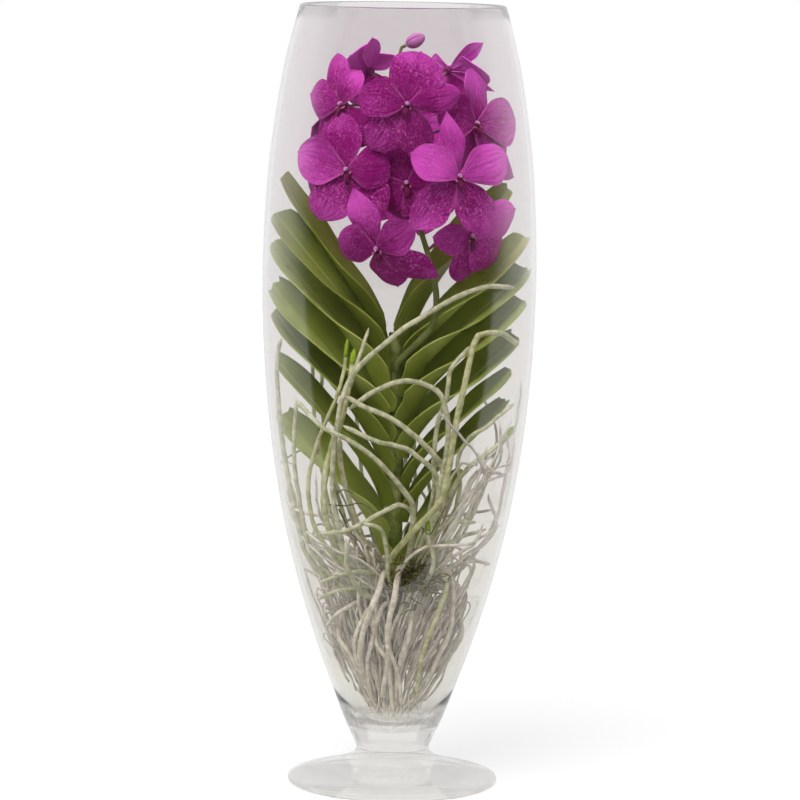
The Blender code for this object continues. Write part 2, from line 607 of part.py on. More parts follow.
def build_roots(collection, material):
    """The woody stem end with all its roots, grown together as one piece."""
    mesh = bpy.data.meshes.new("rootstock")
    shape = bmesh.new()
    top = STEM_FOOT - TOUCH_GAP
    bmesh.ops.create_cone(shape, cap_ends=True, segments=12, radius1=ROOTSTOCK_RADIUS * 0.6 * MM,
                          radius2=ROOTSTOCK_RADIUS * MM, depth=(top - ROOTSTOCK_FOOT) * MM)
    bmesh.ops.translate(shape, vec=Vector((STEM_X, 0.0, (top + ROOTSTOCK_FOOT) / 2)) * MM, verts=shape.verts)
    shape.to_mesh(mesh)
    shape.free()
    pieces = [add_object("rootstock", mesh, collection)]
    for index, (base_radius, tip_radius, route) in enumerate(routed_roots() + ruled_roots()):
        path = smooth_points(route, ROOT_STEP)
        radii = [base_radius + (tip_radius - base_radius) * i / (len(path) - 1) for i in range(len(path))]
        path = [kept_inside(place, radius) for place, radius in zip(path, radii)]
        pieces.append(tube(f"root_{index:02d}", path, radii, collection))
    return fuse("roots", pieces, collection, material, solver="MANIFOLD")


def build():
    """Make every piece of the orchid and its vase."""
    clear_scene()
    collection = bpy.data.collections.new("vanda_orchid_in_vase")
    bpy.context.scene.collection.children.link(collection)
    build_vase(collection)
    build_stem(collection)
    leaf_green = plain_material("leaf_green", (0.07, 0.14, 0.02), 0.5)
    for leaf in LEAVES:
        build_leaf(leaf, collection, leaf_green)
    bloom_purple = plain_material("bloom_purple", (0.33, 0.02, 0.20), 0.6)
    for bloom in BLOOMS:
        build_bloom(bloom, collection, bloom_purple)
    build_spike(collection, plain_material("spike_green", (0.20, 0.17, 0.07), 0.5))
    build_bud(collection, plain_material("bud_mauve", (0.45, 0.12, 0.38), 0.55))
    build_roots(collection, plain_material("root_silver", (0.45, 0.46, 0.33), 0.7))


build()
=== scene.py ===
"""Looks of a vanda orchid that stands with bare roots in a tall footed glass vase.

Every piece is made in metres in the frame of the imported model, in the order in which
the object is put together: the vase, the roots, the stem and leaves, the flower spike,
the blooms and the bud, and then the studio.
"""

import math
import random

import bpy
import numpy as np
from mathutils import Matrix, Vector


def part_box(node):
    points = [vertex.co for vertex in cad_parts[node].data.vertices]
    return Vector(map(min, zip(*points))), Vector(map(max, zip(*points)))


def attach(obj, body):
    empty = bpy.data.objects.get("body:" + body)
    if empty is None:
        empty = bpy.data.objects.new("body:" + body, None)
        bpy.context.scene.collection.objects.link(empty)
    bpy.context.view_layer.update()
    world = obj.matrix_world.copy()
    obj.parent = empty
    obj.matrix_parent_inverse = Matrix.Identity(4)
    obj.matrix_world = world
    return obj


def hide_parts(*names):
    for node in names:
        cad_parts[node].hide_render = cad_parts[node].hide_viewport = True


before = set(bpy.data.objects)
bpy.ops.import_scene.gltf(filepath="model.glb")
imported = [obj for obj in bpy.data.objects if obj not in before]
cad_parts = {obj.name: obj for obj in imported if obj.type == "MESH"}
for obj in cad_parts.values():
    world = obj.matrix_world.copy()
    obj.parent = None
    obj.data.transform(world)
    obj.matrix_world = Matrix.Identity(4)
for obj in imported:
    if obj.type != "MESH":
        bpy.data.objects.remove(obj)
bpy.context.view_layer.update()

# The vase is one piece of clear soda glass, blown and turned: a tall bellied bowl on a short solid neck,
# drawn out into a round foot, with a fire-polished rim. Thick glass below the bowl and round the rim looks
# milky: there, more light passes straight through.
MM = 0.001
VASE_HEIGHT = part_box("vase")[1].z / MM
VASE_OUTSIDE = [(92.0, 698.2), (104.0, 651.0), (112.9, 598.0), (118.9, 544.0), (122.2, 470.0),
                (120.8, 400.0), (115.0, 328.0), (103.5, 252.0), (88.6, 188.0), (71.0, 130.0),
                (56.0, 89.0), (45.0, 60.0), (36.0, 40.0)]
OUTSIDE_STEP = 14.0
WALL = 4.2
RIM_ROUND = 2.1
NECK = [(33.4, 34.5), (32.6, 31.5), (32.9, 28.6), (34.6, 26.6)]
FOOT_TOP = [(42.0, 21.4), (58.0, 15.2), (78.0, 9.4), (90.5, 6.2)]
FOOT_TOP_STEP = 6.0
FOOT_EDGE = [(93.6, 5.0), (94.5, 3.2), (94.0, 1.2), (92.4, 0.0)]
BOWL_FLOOR = [(0.0, 52.0), (10.0, 52.1), (20.0, 53.2), (29.0, 55.8), (34.5, 59.2), (38.2, 63.5)]
BOWL_FLOOR_STEP = 4.0
BOWL_CORNER = 3.0
VASE_SIDES = 128
TURNED_SMOOTH = 50
WELD_WITHIN = 0.02
GLASS_TINT = (0.845, 0.815, 0.825)
LOW_TINT = (0.835, 0.825, 0.785)
STRAIGHT_TINT = (0.89, 0.88, 0.875, 1.0)
TINT_HEIGHTS = (0.16, 0.60)
HAZE = 0.42
FOOT_HAZE = (0.040, 0.072)
RIM_HAZE = (0.688, 0.697)


def pick(thing):
    """Select one object alone and make it the active one."""
    bpy.ops.object.select_all(action="DESELECT")
    thing.select_set(True)
    bpy.context.view_layer.objects.active = thing


def smooth_points(points, step):
    """Points about a step apart on a smooth curve through the given points."""
    given = [np.array(point, dtype=float) for point in points]
    ends = [2 * given[0] - given[1], *given, 2 * given[-1] - given[-2]]
    result = []
    for before, start, end, after in zip(ends, ends[1:], ends[2:], ends[3:]):
        count = max(1, round(float(np.linalg.norm(end - start)) / step))
        for index in range(count):
            t = index / count
            result.append(0.5 * (2 * start + (end - before) * t
                                 + (2 * before - 5 * start + 4 * end - after) * t * t
                                 + (3 * start - before - 3 * end + after) * t ** 3))
    result.append(given[-1])
    return result


def turned(name, outline, sides):
    """A body turned round the Z axis: one vertex is extruded along the outline, and the line is spun."""
    bpy.ops.object.select_all(action="DESELECT")
    bpy.ops.mesh.primitive_plane_add(size=MM, location=(0, 0, 0))
    body = bpy.context.active_object
    body.name = name
    bpy.ops.object.mode_set(mode="EDIT")
    bpy.ops.mesh.select_all(action="SELECT")
    bpy.ops.mesh.merge(type="CENTER")
    radius, height = outline[0]
    bpy.ops.transform.translate(value=(radius * MM, 0, height * MM))
    for (radius, height), (next_radius, next_height) in zip(outline, outline[1:]):
        step = ((next_radius - radius) * MM, 0, (next_height - height) * MM)
        bpy.ops.mesh.extrude_region_move(TRANSFORM_OT_translate={"value": step})
    bpy.ops.mesh.select_all(action="SELECT")
    bpy.ops.mesh.spin(steps=sides, angle=math.tau, center=(0, 0, 0), axis=(0, 0, 1))
    bpy.ops.mesh.select_all(action="SELECT")
    bpy.ops.mesh.remove_doubles(threshold=WELD_WITHIN * MM)
    bpy.ops.mesh.normals_make_consistent(inside=False)
    bpy.ops.object.mode_set(mode="OBJECT")
    pick(body)
    bpy.ops.object.shade_smooth_by_angle(angle=math.radians(TURNED_SMOOTH))
    return body


def place(thing, slot, *nodes):
    """Give a finished piece to the frame: it stays with the vase and stands for its plain nodes."""
    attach(thing, "root")
    if nodes:
        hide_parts(*nodes)


def add_node(tree, kind, inputs=None, **settings):
    """One shader node, with its settings and its input values or links."""
    made = tree.nodes.new(kind)
    for key, value in settings.items():
        setattr(made, key, value)
    for key, value in (inputs or {}).items():
        if isinstance(value, bpy.types.NodeSocket):
            tree.links.new(value, made.inputs[key])
        else:
            made.inputs[key].default_value = value
    return made


def new_material(name, **values):
    """A material with its node tree and its Principled shader, which takes the constant values."""
    material = bpy.data.materials.new(name)
    material.use_nodes = True
    shader = material.node_tree.nodes["Principled BSDF"]
    for key, value in values.items():
        shader.inputs[key.replace("_", " ")].default_value = value
    return material, material.node_tree, shader


def ranged(tree, value, start, end, low=0.0, high=1.0, **settings):
    """A value moved from the range start to end onto the range low to high."""
    made = add_node(tree, "ShaderNodeMapRange", {"Value": value, "From Min": start, "From Max": end,
                                                 "To Min": low, "To Max": high}, **settings)
    return made.outputs["Result"]


def reckoned(tree, operation, first, second=0.5, **settings):
    """What one operation makes of two values."""
    return add_node(tree, "ShaderNodeMath", {0: first, 1: second}, operation=operation, **settings).outputs[0]


def blended(tree, share, first, second):
    """A share of the second colour in the first. A colour is a link, or its red, green and blue."""
    first, second = (colour if isinstance(colour, bpy.types.NodeSocket) else (*colour, 1.0)
                     for colour in (first, second))
    made = add_node(tree, "ShaderNodeMix", {"Factor": share, "A": first, "B": second}, data_type="RGBA")
    return made.outputs["Result"]


outer = [(p[0], p[1]) for p in smooth_points(VASE_OUTSIDE, OUTSIDE_STEP)]
inner = [(radius - WALL, height) for radius, height in outer if height > BOWL_FLOOR[-1][1] + BOWL_CORNER]
rim_radius = outer[0][0] - WALL / 2
rim_height = VASE_HEIGHT - RIM_ROUND
rim_angles = [math.radians(angle) for angle in range(0, 181, 20)]
rim = [(rim_radius - RIM_ROUND * math.cos(angle), rim_height + RIM_ROUND * math.sin(angle))
       for angle in rim_angles]
bowl_floor = [(p[0], p[1]) for p in smooth_points(BOWL_FLOOR, BOWL_FLOOR_STEP)]
foot_top = [(p[0], p[1]) for p in smooth_points([NECK[-1], *FOOT_TOP], FOOT_TOP_STEP)]
outline = bowl_floor + inner[:0:-1] + rim + outer[1:] + NECK[:-1] + foot_top + FOOT_EDGE + [(0.0, 0.0)]
vase = turned("vase_glass", outline, VASE_SIDES)

glass, tree, shader = new_material("clear_glass", Roughness=0.0, IOR=1.5, Transmission_Weight=1.0)
spot = add_node(tree, "ShaderNodeTexCoord")
height = add_node(tree, "ShaderNodeSeparateXYZ", {0: spot.outputs["Object"]}).outputs["Z"]
tint = blended(tree, ranged(tree, height, *TINT_HEIGHTS), LOW_TINT, GLASS_TINT)
tree.links.new(tint, shader.inputs["Base Color"])
haze = reckoned(tree, "MAXIMUM", ranged(tree, height, *FOOT_HAZE, HAZE, 0.0),
                ranged(tree, height, *RIM_HAZE, 0.0, HAZE))
light_path = add_node(tree, "ShaderNodeLightPath")
straight = reckoned(tree, "MAXIMUM", haze, light_path.outputs["Is Shadow Ray"])
clear = add_node(tree, "ShaderNodeBsdfTransparent", {"Color": STRAIGHT_TINT})
mix = add_node(tree, "ShaderNodeMixShader", {0: straight, 1: shader.outputs[0], 2: clear.outputs[0]})
tree.links.new(mix.outputs[0], tree.nodes["Material Output"].inputs["Surface"])
vase.data.materials.append(glass)
place(vase, "glass", "vase")

# The roots grew from the woody end of the stem, round and spongy, 3 to 7 mm thick. They climb and cross in
# front of the leaves, lean on the glass and wind down into the bowl. Their dry skin is silver-green, and
# paler and browner on those that end low in the bowl.
STEM_X = -1.5
STEM_FOOT = 172.0
TOUCH_GAP = 0.3
ROOTSTOCK_FOOT = 98.0
ROOTSTOCK_RADIUS = 8.6
ROOTSTOCK_RINGS = 12
WALL_CLEARANCE = 0.8
ROOT_STEP = 5.0
ROOT_START_RISE = 36.0
LOWEST_START = 12.0
HIGHEST_START = 8.0
SLIMMER = 0.8
DRIFT_KEPT = 0.8
SWELLING = 0.07
TIP_ROUND = 1.6
TIP_LEAST = 0.06
NEST_SET_BACK = 0.30
TUBE_WELD_WITHIN = 0.002
GRAIN_DEPTH = 0.0006
# Radius at the base and at the tip, and the way to the tip, before SLIMMER makes it thinner
ROOTS = [
    (4.4, 3.0, [(-1, -20, 172), (-22, -34, 184), (-45, -50, 209), (-60, -64, 247), (-62, -70, 284),
                (-56, -70, 315), (-48, -68, 341), (-42, -66, 368), (-38, -60, 400)]),
    (3.4, 2.8, [(-14, -22, 172), (-24, -40, 214), (-39, -58, 262), (-47, -60, 289), (-50, -58, 321)]),
    (2.8, 2.0, [(-12, -14, 160), (-40, -40, 194), (-69, -54, 237), (-76, -60, 283), (-67, -62, 323),
                (-54, -64, 354), (-47, -62, 381), (-44, -58, 408)]),
    (3.4, 2.8, [(-8, -16, 170), (-40, -52, 209), (-54, -76, 267), (-54, -80, 321), (-46, -80, 363),
                (-34, -80, 387), (-7, -82, 412), (16, -82, 428), (49, -78, 448), (77, -66, 457),
                (100, -45, 454)]),
    (3.4, 2.8, [(4, -16, 172), (22, -40, 209), (35, -62, 248), (39, -74, 286), (44, -80, 318),
                (44, -82, 340), (38, -84, 363), (24, -86, 372), (4, -88, 375), (-17, -86, 368),
                (-42, -80, 349)]),
    (3.6, 2.8, [(6, -16, 176), (26, -40, 211), (39, -58, 257), (40, -68, 294), (29, -78, 313),
                (11, -86, 330), (-5, -90, 342), (-32, -90, 354), (-46, -88, 361)]),
    (3.2, 2.6, [(5, -16, 182), (20, -44, 218), (34, -60, 253), (35, -70, 288), (20, -80, 306),
                (7, -86, 316), (-19, -92, 323), (-47, -88, 335)]),
    (3.4, 2.6, [(3, -18, 176), (11, -44, 209), (14, -66, 240), (14, -78, 264), (6, -86, 279),
                (-4, -92, 292), (-21, -96, 310), (-45, -94, 325), (-68, -83, 335), (-89, -60, 354)]),
    (3.8, 3.1, [(-4, -18, 172), (-5, -44, 207), (14, -68, 238), (37, -84, 267), (46, -90, 306),
                (53, -90, 351), (61, -88, 390), (66, -83, 411), (69, -80, 416), (74, -76, 417),
                (90, -60, 415), (105, -38, 403)]),
    (4.2, 3.0, [(-3, -16, 178), (-10, -42, 197), (-15, -56, 182), (-24, -52, 156), (-30, -36, 121),
                (-21, -16, 84)]),
    (3.0, 2.4, [(10, -14, 174), (20, -34, 221), (32, -52, 265), (33, -62, 302), (35, -66, 334),
                (43, -70, 361), (46, -70, 385), (64, -64, 405)]),
    (2.8, 2.2, [(12, -10, 172), (31, -26, 206), (50, -38, 245), (56, -46, 280), (54, -52, 301),
                (64, -54, 322), (78, -52, 331), (102, -36, 351)]),
    (3.2, 2.4, [(8, -12, 176), (32, -36, 231), (52, -58, 280), (64, -62, 297), (87, -52, 315),
                (102, -30, 329)]),
    (2.8, 2.2, [(-12, -8, 160), (-31, -22, 173), (-67, -36, 197), (-90, -42, 243), (-100, -38, 296),
                (-104, -38, 332), (-106, -40, 358), (-105, -40, 390), (-102, -42, 406)]),
    (2.6, 2.0, [(-12, -10, 164), (-40, -32, 179), (-72, -46, 217), (-84, -50, 263), (-90, -52, 308),
                (-88, -54, 353)]),
    (3.0, 2.4, [(8, -20, 176), (14, -46, 222), (16, -64, 250), (6, -77, 264), (-8, -80, 260),
                (-40, -79, 242), (-66, -62, 235)]),
    (2.8, 2.2, [(-3, -22, 174), (-7, -60, 203), (-8, -74, 224), (-14, -82, 244), (-31, -82, 248)]),
    (3.2, 2.6, [(-12, -26, 168), (-29, -50, 181), (-41, -68, 206), (-43, -75, 232)]),
    (4.2, 3.0, [(4, -16, 176), (4, -40, 203), (2, -56, 193), (-1, -60, 176), (-6, -54, 153), (-5, -40, 118),
                (-10, -22, 80)]),
    (2.8, 2.4, [(14, -26, 176), (26, -46, 190), (33, -60, 210), (29, -70, 236), (27, -74, 257)]),
    (2.8, 2.4, [(10, -22, 178), (24, -42, 214), (39, -58, 241), (54, -58, 247), (70, -50, 246)]),
    (2.8, 2.2, [(9, -15, 174), (22, -32, 200), (34, -42, 218), (53, -48, 230), (80, -30, 236)]),
    (3.0, 2.2, [(8, -14, 178), (31, -34, 202), (46, -44, 190), (40, -46, 166), (27, -38, 130),
                (20, -18, 82)]),
    (3.0, 2.2, [(-10, -18, 166), (-24, -40, 163), (-35, -38, 133), (-28, -24, 100), (-14, -10, 72)]),
    (3.0, 2.2, [(-6, -22, 176), (-18, -44, 196), (-40, -56, 200), (-66, -44, 188)]),
    (2.8, 2.2, [(-16, -32, 180), (-44, -48, 184), (-68, -30, 171)]),
    (2.8, 2.2, [(-14, -26, 172), (-44, -42, 165), (-61, -20, 145)]),
]
BRANCHES = [
    (2.6, 1.9, [(-42, -66, 366), (-36, -63, 388), (-26, -58, 418)]),
    (2.6, 2.0, [(-6, -48, 134), (4, -36, 104), (8, -24, 72)]),
]
BACK_ROOTS = 7
BACK_ROOT_RADII = (2.9, 2.1)
BACK_ARC = (118.0, 242.0)
BACK_BEND = 26
BACK_ROOT_TOPS = (250.0, 400.0)
NEST_ROOTS = 10
NEST_ROOT_RADII = (3.0, 2.2)
NEST_TURN = (14.0, 48.0)
NEST_SHOULDER = (150.0, 195.0)
NEST_WAIST = (100.0, 120.0)
NEST_FOOT = 56.0
YELLOW_ROOTS = (0, 2, 8, 22)
BOWL_TOP = 170.0
TIP_ROOTS = (0, 2, 12, 19)
TIP_POINTS = 4
wobble = random.Random(7)


def inside_radius(height):
    """Radius of the vase's inside at a height."""
    inside = bowl_floor[1:] + inner[::-1]
    return float(np.interp(height, [p[1] for p in inside], [p[0] for p in inside]))


def kept_inside(point, radius):
    """A point moved in, so that a root of this radius just clears the glass."""
    x, y, z = point
    z = max(z, BOWL_FLOOR[1][1] + radius + WALL_CLEARANCE)
    slope = (inside_radius(z + 5) - inside_radius(z - 5)) / 10
    room = inside_radius(z) - (radius + WALL_CLEARANCE) * math.hypot(1.0, slope)
    reach = math.hypot(x, y)
    if reach > room:
        x, y = x * room / reach, y * room / reach
    return np.array((x, y, z))


def on_circle(angle, radius, height):
    """A place at an angle round the vase (0 is the front, 90 the right)."""
    angle = math.radians(angle)
    return (radius * math.sin(angle), -radius * math.cos(angle), height)


def tubes(name, runs, sides_level, material):
    """Round tubes, each a list of points in millimetres with its radii, as one mesh made from a curve."""
    data = bpy.data.curves.new(name, "CURVE")
    data.dimensions = "3D"
    data.bevel_depth = MM
    data.bevel_resolution = sides_level
    data.use_fill_caps = True
    for points, radii in runs:
        line = data.splines.new("POLY")
        line.points.add(len(points) - 1)
        for point, spot, radius in zip(line.points, points, radii):
            point.co = (spot[0] * MM, spot[1] * MM, spot[2] * MM, 1.0)
            point.radius = radius
        line.use_smooth = True
    item = bpy.data.objects.new(name, data)
    bpy.context.scene.collection.objects.link(item)
    pick(item)
    bpy.ops.object.convert(target="MESH")
    item = bpy.context.active_object
    bpy.ops.object.mode_set(mode="EDIT")
    bpy.ops.mesh.select_all(action="SELECT")
    bpy.ops.mesh.remove_doubles(threshold=TUBE_WELD_WITHIN * MM)
    bpy.ops.mesh.normals_make_consistent(inside=False)
    bpy.ops.object.mode_set(mode="OBJECT")
    bpy.ops.object.shade_smooth()
    item.data.materials.clear()
    item.data.materials.append(material)
    return item


def grown(route, base_radius, tip_radius, step=ROOT_STEP, wander=0.7):
    """A root's points and radii: its route made smooth, with small bends and swellings and a round tip."""
    path = smooth_points(route, step)
    count = len(path)
    drift = np.zeros(3)
    points = []
    radii = []
    for index, spot in enumerate(path):
        drift = drift * DRIFT_KEPT + np.array([wobble.uniform(-1, 1) for _ in range(3)]) * wander * 0.5
        share = index / (count - 1)
        radius = base_radius + (tip_radius - base_radius) * share
        radius *= 1 + SWELLING * wobble.uniform(-1, 1)
        left = (count - 1 - index) * step / tip_radius
        radius *= math.sqrt(max(TIP_LEAST, 1 - max(0.0, 1 - left / TIP_ROUND) ** 2))
        points.append(kept_inside(spot + drift * min(1.0, 3 * share), radius))
        radii.append(radius)
    return points, radii


def routed_roots():
    """The roots whose way is drawn point by point, each from inside the woody stem end."""
    roots = []
    for base_radius, tip_radius, route in ROOTS:
        start_height = min(max(route[0][2] - ROOT_START_RISE, ROOTSTOCK_FOOT + LOWEST_START),
                           STEM_FOOT - HIGHEST_START)
        roots.append((base_radius, tip_radius, [(STEM_X, 0.0, start_height), *route]))
    return roots + BRANCHES


def ruled_roots():
    """Roots that stand at the back of the vase, and those that wind down into the bowl."""
    rng = random.Random(41)
    roots = []
    first, last = BACK_ARC
    for index in range(BACK_ROOTS):
        angle = first + (last - first) * index / (BACK_ROOTS - 1)
        top = rng.uniform(*BACK_ROOT_TOPS)
        bend = rng.uniform(-BACK_BEND, BACK_BEND)
        route = [(STEM_X, 0.0, 150), on_circle(angle, 34, 186), on_circle(angle + bend / 2, 66, 232),
                 on_circle(angle + bend, 88, (232 + top) / 2 + 10), on_circle(angle + bend, 92, top)]
        roots.append((*BACK_ROOT_RADII, route))
    for index in range(NEST_ROOTS):
        angle = 360 * index / NEST_ROOTS + rng.uniform(-10, 10)
        turn = rng.choice((-1, 1)) * rng.uniform(*NEST_TURN)
        shoulder = rng.uniform(*NEST_SHOULDER)
        waist = rng.uniform(*NEST_WAIST)
        hip = (shoulder + waist) / 2
        reach = 1 - NEST_SET_BACK * max(0.0, math.cos(math.radians(angle + turn / 2)))
        route = [(STEM_X, 0.0, rng.uniform(124, 146)), on_circle(angle, 30, shoulder),
                 on_circle(angle + turn * 0.15, 0.70 * reach * inside_radius(shoulder), shoulder + 4),
                 on_circle(angle + turn * 0.4, 0.90 * reach * inside_radius(hip), hip),
                 on_circle(angle + turn * 0.7, 0.84 * reach * inside_radius(waist), waist),
                 on_circle(angle + turn, rng.uniform(10, 20), NEST_FOOT)]
        roots.append((*NEST_ROOT_RADII, route))
    return roots


def noise(tree, where, scale, detail):
    """A cloudy pattern."""
    return add_node(tree, "ShaderNodeTexNoise", {"Vector": where, "Scale": scale, "Detail": detail})


def raised(tree, shader, strength, depth, height, **under):
    """Fine relief in the surface, over a coarser one where that is given."""
    made = add_node(tree, "ShaderNodeBump", {"Strength": strength, "Distance": depth, "Height": height,
                                             **under})
    tree.links.new(made.outputs["Normal"], shader.inputs["Normal"])


def mottle_group():
    """Shared effect: two tones of living skin in soft patches, with a finer grain for the bump."""
    group = bpy.data.node_groups.new("mottled_skin", "ShaderNodeTree")
    for name, kind in (("Vector", "NodeSocketVector"), ("Patch Scale", "NodeSocketFloat"),
                       ("Dark", "NodeSocketColor"), ("Light", "NodeSocketColor")):
        group.interface.new_socket(name, in_out="INPUT", socket_type=kind)
    for name, kind in (("Color", "NodeSocketColor"), ("Height", "NodeSocketFloat")):
        group.interface.new_socket(name, in_out="OUTPUT", socket_type=kind)
    entry = add_node(group, "NodeGroupInput")
    leave = add_node(group, "NodeGroupOutput")
    patches = noise(group, entry.outputs["Vector"], entry.outputs["Patch Scale"], 5.0)
    patches.inputs["Roughness"].default_value = 0.62
    tone = blended(group, ranged(group, patches.outputs["Fac"], 0.36, 0.66), entry.outputs["Dark"],
                   entry.outputs["Light"])
    grain = noise(group, entry.outputs["Vector"], 900.0, 3.0)
    group.links.new(tone, leave.inputs["Color"])
    group.links.new(grain.outputs["Fac"], leave.inputs["Height"])
    return group


mottled = mottle_group()


def skin_material(name, dark, light, patch_scale, roughness, bump=0.25, **values):
    """A living or dry skin: two tones in patches, and a fine grain."""
    material, tree, shader = new_material(name, Roughness=roughness, **values)
    spot = add_node(tree, "ShaderNodeTexCoord")
    skin = add_node(tree, "ShaderNodeGroup", {"Vector": spot.outputs["Object"], "Patch Scale": patch_scale,
                                              "Dark": (*dark, 1.0), "Light": (*light, 1.0)},
                    node_tree=mottled)
    tree.links.new(skin.outputs["Color"], shader.inputs["Base Color"])
    raised(tree, shader, bump, GRAIN_DEPTH, skin.outputs["Height"])
    return material


def joined(name, first, *others):
    """Several meshes joined into the first one, under a new name."""
    pick(first)
    for other in others:
        other.select_set(True)
    bpy.ops.object.join()
    first.name = name
    return first


silver_skin = skin_material("root_silver_skin", (0.39, 0.41, 0.24), (0.80, 0.80, 0.58), 160.0, 0.7,
                            Specular_IOR_Level=0.25)
dry_skin = skin_material("root_dry_skin", (0.52, 0.46, 0.38), (0.92, 0.86, 0.76), 160.0, 0.75,
                         Specular_IOR_Level=0.2)
yellow_skin = skin_material("root_yellow_green_skin", (0.40, 0.42, 0.19), (0.76, 0.77, 0.47), 140.0, 0.65,
                            Specular_IOR_Level=0.25)
tip_skin = skin_material("root_growing_tip", (0.22, 0.36, 0.02), (0.38, 0.52, 0.05), 200.0, 0.35)

all_roots = routed_roots() + ruled_roots()
runs = [grown(route, base * SLIMMER, tip * SLIMMER) for base, tip, route in all_roots]
plain = [run for i, run in enumerate(runs) if i not in YELLOW_ROOTS]
silver = tubes("silver_roots", [run for run in plain if run[0][-1][2] >= BOWL_TOP], 2, silver_skin)
dry = tubes("dry_roots", [run for run in plain if run[0][-1][2] < BOWL_TOP], 2, dry_skin)
yellow = tubes("yellow_green_roots", [run for i, run in enumerate(runs) if i in YELLOW_ROOTS], 3, yellow_skin)
tips = []
for index in TIP_ROOTS:
    points, radii = runs[index]
    tips.append((points[-TIP_POINTS:], [radius * 1.04 + 0.1 for radius in radii[-TIP_POINTS:]]))
growing_tips = tubes("root_growing_tips", tips, 3, tip_skin)
wood_skin = skin_material("woody_stem_skin", (0.10, 0.07, 0.03), (0.28, 0.24, 0.13), 120.0, 0.8, 0.5)
wood_heights = np.linspace(ROOTSTOCK_FOOT, STEM_FOOT - TOUCH_GAP, ROOTSTOCK_RINGS)
wood_path = [(STEM_X, 0, height) for height in wood_heights]
wood_radii = np.linspace(0.6, 1.0, ROOTSTOCK_RINGS) * ROOTSTOCK_RADIUS
wood = tubes("woody_stem_end", [(wood_path, wood_radii)], 4, wood_skin)
place(joined("roots_grown", silver, dry, yellow, growing_tips, wood), "root_silver", "roots")

# Finer roots fill the bowl out to the glass, packed in slanting strands that meet at its floor. Thin dark
# rootlets and a tuft of dead brown fibres hang where the stem ends.
STRAND_COUNT = 215
STRAND_TOPS = (115, 225)
STRAND_RADII = (0.7, 1.7)
STRAND_SET_BACK = 0.42
STRAND_LOW = 62
STRAND_END = 58
RISER_COUNT = 34
RISER_LOWS = (190, 290)
RISER_CLIMB = 110
RISER_RADII = (1.2, 2.1)
FINE_STEP = 9.0
FIBRE_COUNT = 170
FIBRE_CENTRE = (19.0, -44.0, 190.0)
FIBRE_SPREAD = (8.5, 5.0, 8.5)
FIBRE_STEP = 3.4
FIBRE_RADII = [0.65, 0.6, 0.55, 0.48, 0.38, 0.2]
ROOTLETS = [
    [(-58, -66, 262), (-44, -72, 262), (-30, -70, 264), (-16, -66, 254), (-2, -60, 246)],
    [(-54, -66, 270), (-46, -70, 276), (-38, -66, 272)],
    [(-50, -64, 258), (-42, -66, 242), (-34, -60, 230)],
    [(22, -70, 244), (30, -74, 238), (38, -70, 252), (44, -66, 262)],
]
strand_rng = random.Random(23)


def strand():
    """A fine root that slants down the glass to the floor of the bowl."""
    angle = strand_rng.choice((strand_rng.uniform(10, 190), strand_rng.uniform(190, 345)))
    turn = -strand_rng.uniform(20, 75) if angle < 150 else strand_rng.uniform(-30, 60)
    top = strand_rng.uniform(*STRAND_TOPS)
    depth = 0.98 - 0.45 * strand_rng.random() ** 2
    depth *= 1 - STRAND_SET_BACK * max(0.0, math.cos(math.radians(angle + turn / 2)))
    direct = strand_rng.random()
    route = [on_circle(angle - turn * 0.4, 0.4 * depth * inside_radius(top), top - strand_rng.uniform(0, 40)),
             on_circle(angle, depth * inside_radius(top), top)]
    for share in (0.35, 0.7):
        height = top + (STRAND_LOW - top) * share
        leaning = inside_radius(height) * (1 - 0.15 * share)
        reach = leaning + (inside_radius(top) * (1 - share) - leaning) * direct
        route.append(on_circle(angle + turn * share, depth * reach, height))
    route.append(on_circle(angle + turn, strand_rng.uniform(3, 26), STRAND_END))
    thick = strand_rng.uniform(*STRAND_RADII)
    points, radii = grown(route, thick, thick * 0.7, step=FINE_STEP, wander=2.4)
    kept = math.ceil(len(points) * strand_rng.uniform(0.6, 1.0))
    return points[:kept], radii[:kept]


def riser():
    """A thinner root that leans on the glass above the bowl, mostly at the right and the back."""
    angle = strand_rng.choice((strand_rng.uniform(40, 140), strand_rng.uniform(140, 330)))
    low = strand_rng.uniform(*RISER_LOWS)
    top = low + strand_rng.uniform(0, RISER_CLIMB)
    turn = strand_rng.uniform(-60, 60)
    route = [on_circle(angle - turn, 24, 168), on_circle(angle - turn * 0.5, 0.7 * inside_radius(low), low),
             on_circle(angle, 0.96 * inside_radius((low + top) / 2), (low + top) / 2),
             on_circle(angle + turn * 0.6, 0.97 * inside_radius(top), top)]
    thick = strand_rng.uniform(*RISER_RADII)
    return grown(route, thick, thick * 0.75, step=FINE_STEP, wander=2.2)


def fibre():
    """A short dead fibre in the tuft below the leaves."""
    start = np.array(FIBRE_CENTRE) + [strand_rng.gauss(0, spread) for spread in FIBRE_SPREAD]
    heading = np.array([strand_rng.uniform(-1, 1), strand_rng.uniform(-1, 1), strand_rng.uniform(-0.4, 1)])
    points = []
    for _ in FIBRE_RADII:
        heading = heading + [strand_rng.uniform(-0.7, 0.7) for _ in range(3)]
        start = start + heading / np.linalg.norm(heading) * FIBRE_STEP
        points.append(kept_inside(start, 1.0))
    return points, FIBRE_RADII


